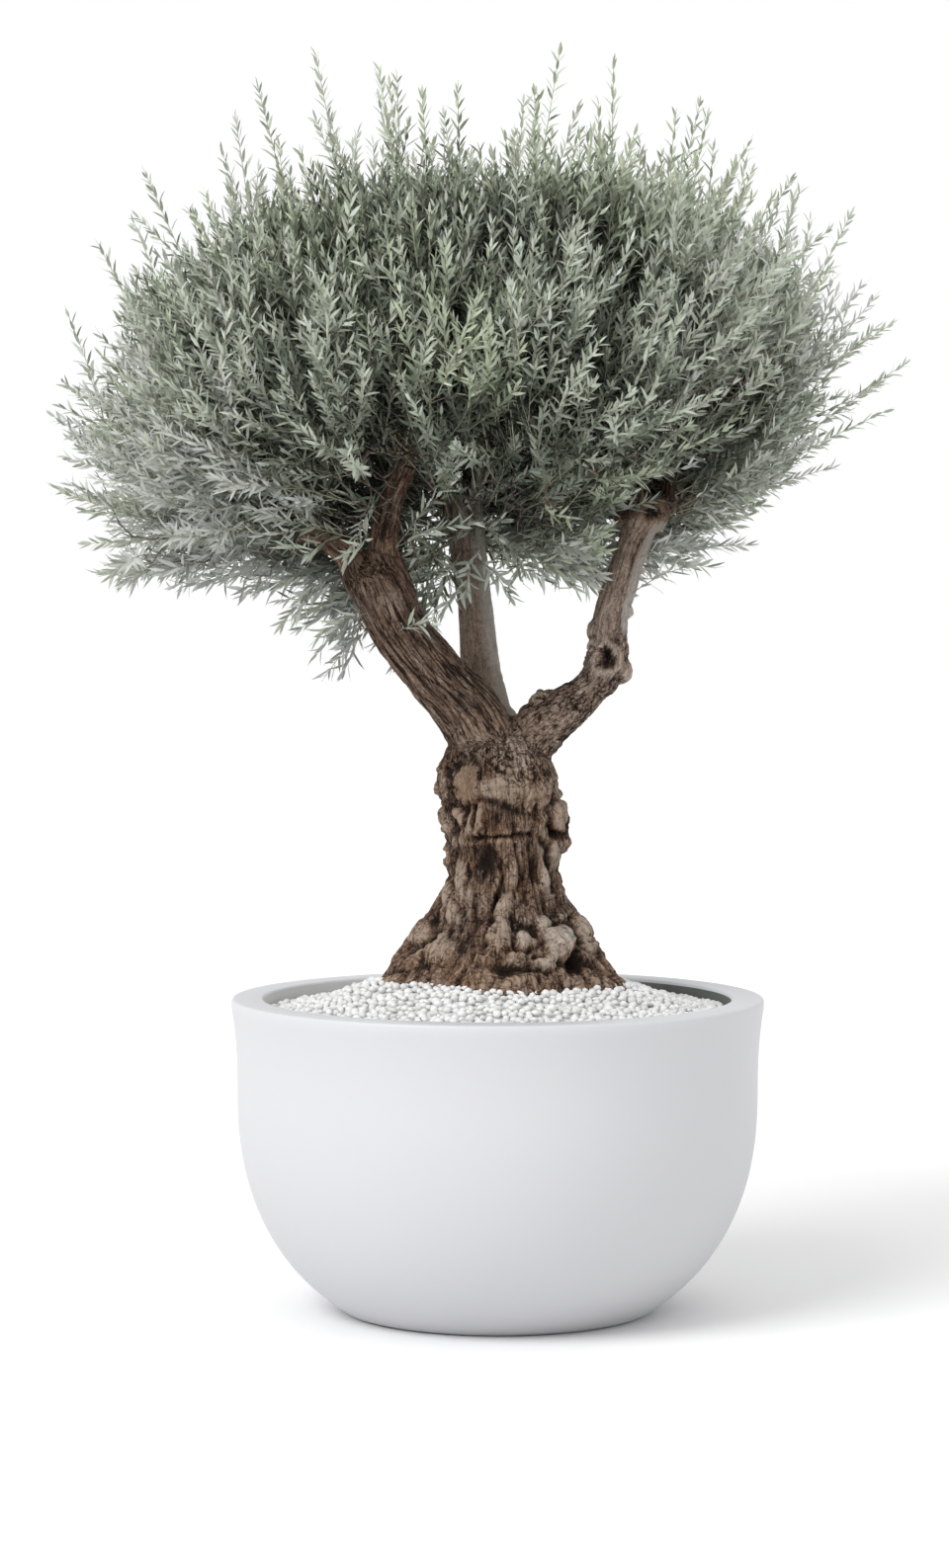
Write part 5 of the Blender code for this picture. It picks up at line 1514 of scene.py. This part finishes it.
def dealColours(leaves, shoots):
    # by spray: painted shade inside, painted light outside, paler at the tips, silvery where an underside shows
    tones = leafTones
    root, who, base = leaves["root"], leaves["who"], shoots["root"]
    sprays = int(shoots["spray"].max()) + 1
    shootTone = rng.normal(0, tones["spray"], sprays)[shoots["spray"]]
    shootTone = shootTone + rng.normal(0, tones["shoot"], len(base))
    shootTone += tones["patch"] * lineNoise(base, (tones["patchScale"],) * 3)
    body = np.minimum(shoots["body"][who], tones["bodyMost"])
    # deeper in the dense foliage, darker: painted shade
    rise = np.clip(crownShare(root) - body, *tones["riseLimits"])
    aside = np.abs(root[:, 0] - crownForm["centre"][0])
    low = np.clip((tones["lowFrom"] - root[:, 2]) / tones["lowOver"], 0, 1)
    tone = shootTone[who] + rise * tones["rise"] + (leaves["t"] - 0.5) * tones["along"]
    # painted light to the sides, at the lower edge, to the right and at the top
    tone = tone + tones["aside"] * aside + tones["low"] * low
    tone += tones["right"] * root[:, 0]
    tone += tones["top"] * eased(root[:, 2], tones["topFrom"], tones["topOver"])
    index = np.clip(np.round(tones["base"] + tone), 0, tones["shades"] - 2).astype(int)
    outward = unit(root - growth["heart"])
    under = (leaves["face"] * outward).sum(1) < tones["under"]
    index[under & (rise > tones["underRise"])] += 1

    stray = lineNoise(base + 3.3, (tones["hueScale"],) * 3) + rng.normal(0, tones["hueStray"], len(base))
    sideways = np.abs(base[:, 0] - crownForm["centre"][0]) + tones["hueBack"] * np.abs(base[:, 1])
    sideways += tones["hueLow"] * np.clip((tones["lowFrom"] - base[:, 2]) / tones["hueLowOver"], 0, 1)
    fresh = stray + tones["freshRoom"] - sideways > tones["freshLeast"]
    grey = sideways - tones["greyFrom"] + stray > 0
    hue = np.where(fresh, 1, np.where(grey, 2, 0))
    return index + tones["shades"] * hue[who]


def joinLeaves(leaves, leafMass, colourIndex):
    leafMaterials = []
    for name, colour in leafColours.items():
        leaf = Finish(name, 0.5, 0.4)
        leaf.colour(colour)
        leafMaterials.append(leaf.material)
    tierOf = np.array([name.split("_")[0] for name in massNames])
    most = leafForm["mostInPiece"]
    for tier in crownForm["tiers"]:
        mine = np.flatnonzero(tierOf[leafMass] == tier)
        for number, first in enumerate(range(0, len(mine), most)):
            some = mine[first : first + most]
            deep = crownShare(leaves["root"][some]) < leafForm["innerDepth"]
            points, faces, index, count = [], [], [], 0
            for chosen, stations in ((some[~deep], leafForm["outer"]), (some[deep], leafForm["inner"])):
                leafPoints, leafFaces = leafMesh(kept(leaves, chosen), stations)
                points.append(leafPoints)
                faces.append(leafFaces + count)
                index.append(np.repeat(colourIndex[chosen], 2 * len(stations)))
                count += len(leafPoints)
            piece = meshPiece(f"leaves_{tier}_{number + 1}", np.vstack(points), np.vstack(faces),
                              leafMaterials, materialIndex=np.concatenate(index))
            place(piece, "leaves", *nodesNamed(f"foliage_{tier}"))


def joinTwigs(twigs, links, bearing, shoots):
    form = twigForm
    green = speckledFinish("greenWoodFinish", 0.6, 0.3, (60.0, 3.0),
                           ((0.35, (0.26, 0.25, 0.175)), (0.65, (0.44, 0.43, 0.33))))
    linkThick = form["linkThick"] * bearing ** form["linkPower"]
    link = (form["linkSteps"], form["linkSides"], linkThick * form["linkTaper"], linkThick)
    for name, grown, (steps, sides, thick, tip), finish in (
        ("twigs", twigs, form["twigs"], woodFinish),
        ("sprigs", links, link, woodFinish),
        ("shoots", shoots, form["shoots"], green),
    ):
        points, faces = woodyTubes(grown, steps, thick, tip, sides)
        place(meshPiece(name, points, faces, [finish]), "branch_bark", *nodesNamed("foliage_"))


twigs, links, bearing, shoots = growFoliage()
leaves = leavesThatFit(leafArrays(shoots), shoots)
print("foliage grown:", len(twigs["length"]), "bough twigs,", len(links["length"]), "links,",
      len(shoots["length"]), "shoots,", len(leaves["who"]), "leaves")
joinLeaves(leaves, shoots["mass"][leaves["who"]], dealColours(leaves, shoots))
joinTwigs(twigs, links, bearing, shoots)
print("leaves and twigs joined")


# The pot
potForm = {
    "height": 0.71, "wall": 0.587, "rim": 0.60, "bowlTop": 0.50, "bowlDepth": 0.578, "bowlPower": 2.3,
    "flareHeight": 0.19, "rimWidth": 0.073, "edge": 0.007, "lipDepth": 0.10, "sides": 160, "innerBands": 3,
    # steps round the rim's edges and down the side, and where the side ends over the floor and under the edge
    "edgeSteps": 6, "sideSteps": 60, "footStart": 0.014, "edgeRoom": 0.012,
}


def potRadius(height):
    form = potForm
    if height < form["bowlTop"]:
        share = ((form["bowlTop"] - height) / form["bowlDepth"]) ** form["bowlPower"]
        return form["wall"] * (1 - share) ** (1 / form["bowlPower"])
    flare = min(1.0, (height - form["bowlTop"]) / form["flareHeight"]) ** 2.5
    return form["wall"] + (form["rim"] - form["wall"]) * flare


def turnedSurface(name, profile, materials, innerBands):
    # the first bands of the profile take the second material
    profile, sides = np.array(profile), potForm["sides"]
    here = np.arange(sides)
    turn = 2 * np.pi * here / sides
    points = np.stack((profile[:, :1] * np.cos(turn), profile[:, :1] * np.sin(turn),
                       np.broadcast_to(profile[:, 1:], (len(profile), sides))), -1)
    last = (len(profile) - 1) * sides
    walls = ringWalls(np.arange(0, last, sides), sides)[:, [0, 3, 2, 1]]
    index = np.zeros(last + 2)
    index[: innerBands * sides] = 1
    faces = [walls, here[None], last + here[None, ::-1]]
    return meshPiece(name, points.reshape(-1, 3), faces, materials, materialIndex=index)


def makePot():
    form = potForm
    lip, edge, top = form["rim"] - form["rimWidth"], form["edge"], form["height"]
    quarter = np.linspace(0, np.pi / 2, form["edgeSteps"])
    inner = [(lip + edge * (1 - math.cos(a)), top - edge * (1 - math.sin(a))) for a in quarter]
    outer = [(form["rim"] - edge * (1 - math.sin(a)), top - edge * (1 - math.cos(a))) for a in quarter]
    heights = np.linspace(top - edge - form["edgeRoom"], form["footStart"], form["sideSteps"])
    side = [(potRadius(z), z) for z in heights]
    foot = [(potRadius(0.008) - 0.002, 0.006), (potRadius(0.0) - 0.004, 0.0015), (potRadius(0.0) - 0.009, 0.0)]
    start = [(0.30, 0.60), (lip, top - form["lipDepth"]), (lip, top - 0.05)]
    profile = [*start, *inner, *outer, *side, *foot, (0.05, 0.0)]
    glaze = Finish("mattWhite", 0.45, 0.4)
    cloud = glaze.speckle(3.0, 3.0)
    fine = glaze.speckle(260.0, 3.0, 0.6)
    glaze.colour(glaze.mixed(cloud, (0.545, 0.547, 0.572), (0.565, 0.566, 0.584)))
    glaze.roughness(glaze.math(glaze.math(fine, "MULTIPLY", 0.12), "ADD", 0.38))
    glaze.bump(fine, 0.25, 0.0006)
    # the wall inside is duller, and painted darker towards the right as painted shade
    inside = Finish("shadedInside", 0.7, 0.3)
    across = inside.node("ShaderNodeSeparateXYZ", Vector=inside.where).outputs["X"]
    across = inside.math(inside.math(across, "ADD", form["wall"]), "DIVIDE", 2 * form["wall"])
    inside.colour(inside.ramp(across, (0.15, (0.60, 0.61, 0.60)), (0.55, (0.42, 0.43, 0.42)),
                              (0.84, (0.11, 0.115, 0.11))))
    return turnedSurface("bowlPot", profile, [glaze.material, inside.material], form["innerBands"])


place(makePot(), "pot", "pot")
soilFinish = speckledFinish("pottingSoil", 0.95, 0.2, (140.0, 5.0, 0.65),
                            ((0.35, (0.020, 0.013, 0.009)), (0.65, (0.085, 0.060, 0.042))), (0.8, 0.006))
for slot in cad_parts["soil"].material_slots:
    slot.material = soilFinish
print("pot turned")


# The pebbles
pebbleForm = {
    "throws": 36000, "edge": 0.682, "mound": 0.752, "sway": 0.006, "wall": 0.5267, "footHeight": 0.74,
    "size": (0.0080, 0.0125), "spacing": 0.70, "cell": 0.02, "innermost": 0.12, "wallRoom": 0.008,
    "under": 0.02, "wide": (0.85, 1.2), "deep": (0.8, 1.0), "flat": (0.60, 0.90), "uneven": 0.08, "tilt": 0.28,
    "sunk": 0.0035, "stray": 0.003, "seed": 3,
    # the bed that shows between them
    "bed": 0.006, "bedUnder": 0.03, "bedRings": 14, "bedSides": 72,
}


def pebbleTop(share, angle):
    form = pebbleForm
    fall = (form["mound"] - form["edge"]) * (0.5 + 0.5 * np.cos(np.pi * share**0.8))
    return form["edge"] + fall + form["sway"] * np.sin(2 * angle) * (1 - share)


def pebbleBed():
    form = pebbleForm
    sides, rings = form["bedSides"], form["bedRings"]
    share, angle = np.meshgrid(np.linspace(0, 1, rings), 2 * np.pi * np.arange(sides) / sides, indexing="ij")
    inner = trunkRadius(angle, form["footHeight"]) - form["bedUnder"]
    radius = inner + (form["wall"] - inner) * share
    height = pebbleTop(share, angle) - form["bed"]
    bed = np.stack((radius * np.cos(angle), radius * np.sin(angle), height), -1).reshape(-1, 3)
    return bed, ringWalls(np.arange(rings - 1) * sides, sides)[:, [0, 3, 2, 1]]


def throwStones(dice):
    # each stone's x, y, height and size, where there is room for it among those thrown before
    form = pebbleForm
    cell, grid, stones = form["cell"], {}, []
    for _ in range(form["throws"]):
        angle = dice.uniform(-np.pi, np.pi)
        radius = math.sqrt(dice.uniform(form["innermost"] ** 2, (form["wall"] - form["wallRoom"]) ** 2))
        size = dice.uniform(*form["size"])
        inner = float(trunkRadius(angle, form["footHeight"])) - form["under"]
        if radius < inner:
            continue
        share = max(0.0, (radius - inner) / (form["wall"] - inner))
        x, y = radius * math.cos(angle), radius * math.sin(angle)
        home = (int(x // cell), int(y // cell))
        near = [s for i in (-1, 0, 1) for j in (-1, 0, 1) for s in grid.get((home[0] + i, home[1] + j), ())]
        if any((x - a) ** 2 + (y - b) ** 2 < (form["spacing"] * (size + c)) ** 2 for a, b, c in near):
            continue
        grid.setdefault(home, []).append((x, y, size))
        stones.append((x, y, float(pebbleTop(share, angle)), size))
    return np.array(stones)


def coarseBall():
    ball = bmesh.new()
    bmesh.ops.create_uvsphere(ball, u_segments=4, v_segments=2, radius=1.0)
    bmesh.ops.subdivide_edges(ball, edges=ball.edges, cuts=1, use_grid_fill=True)
    bmesh.ops.triangulate(ball, faces=ball.faces)
    for vert in ball.verts:
        vert.co.normalize()
    points = np.array([v.co for v in ball.verts])
    faces = np.array([[v.index for v in f.verts] for f in ball.faces])
    ball.free()
    return points, faces


def makePebbles():
    form = pebbleForm
    dice = np.random.default_rng(form["seed"])
    bed, bedFaces = pebbleBed()
    stones = throwStones(dice)
    ballPoints, ballFaces = coarseBall()
    count = len(stones)
    shape = np.stack([dice.uniform(*form[key], count) for key in ("wide", "deep", "flat")], -1)
    uneven = 1 + dice.uniform(-form["uneven"], form["uneven"], (count, len(ballPoints), 1))
    local = ballPoints[None] * uneven * shape[:, None]
    tilt = dice.normal(0, form["tilt"], (count, 2))
    turns = np.array([
        Matrix.Rotation(spin, 3, "Z") @ Matrix.Rotation(a, 3, "X") @ Matrix.Rotation(b, 3, "Y")
        for spin, (a, b) in zip(dice.uniform(0, 2 * np.pi, count), tilt)
    ])
    pebbles = np.einsum("nij,npj->npi", turns, local) * stones[:, 3, None, None]
    lift = -form["sunk"] + dice.uniform(-form["stray"], form["stray"], count)
    pebbles += np.stack((stones[:, 0], stones[:, 1], stones[:, 2] + lift), -1)[:, None]
    pebbleFaces = (np.arange(count) * len(ballPoints))[:, None, None] + ballFaces + len(bed)
    stone = Finish("whitePebble", 0.6, 0.35)
    vein, chalk = stone.speckle(34.0, 4.0, 0.6), stone.speckle(300.0, 3.0, 0.6)
    stone.colour(stone.ramp(vein, (0.34, (0.57, 0.57, 0.56)), (0.50, (0.72, 0.72, 0.72)),
                            (0.66, (0.80, 0.80, 0.80))))
    stone.bump(chalk, 0.5, 0.002)
    # the bed between the stones is a little darker than they are: painted shade
    gap = speckledFinish("pebbleGapShade", 0.9, 0.2, (120.0, 3.0),
                         ((0.4, (0.54, 0.54, 0.54)), (0.6, (0.70, 0.70, 0.70))))
    index = np.concatenate((np.ones(len(bedFaces)), np.zeros(count * len(ballFaces))))
    print("pebbles:", count)
    points, faces = np.vstack((bed, pebbles.reshape(-1, 3))), [bedFaces, pebbleFaces.reshape(-1, 3)]
    return meshPiece("pebbles", points, faces, [stone.material, gap], materialIndex=index)


place(makePebbles(), "pebbles", "pebble_layer")

total = 0
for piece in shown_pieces():
    piece.data.calc_loop_triangles()
    total += len(piece.data.loop_triangles)
    print("  ", piece.name, len(piece.data.loop_triangles))
print("triangles in all:", total)
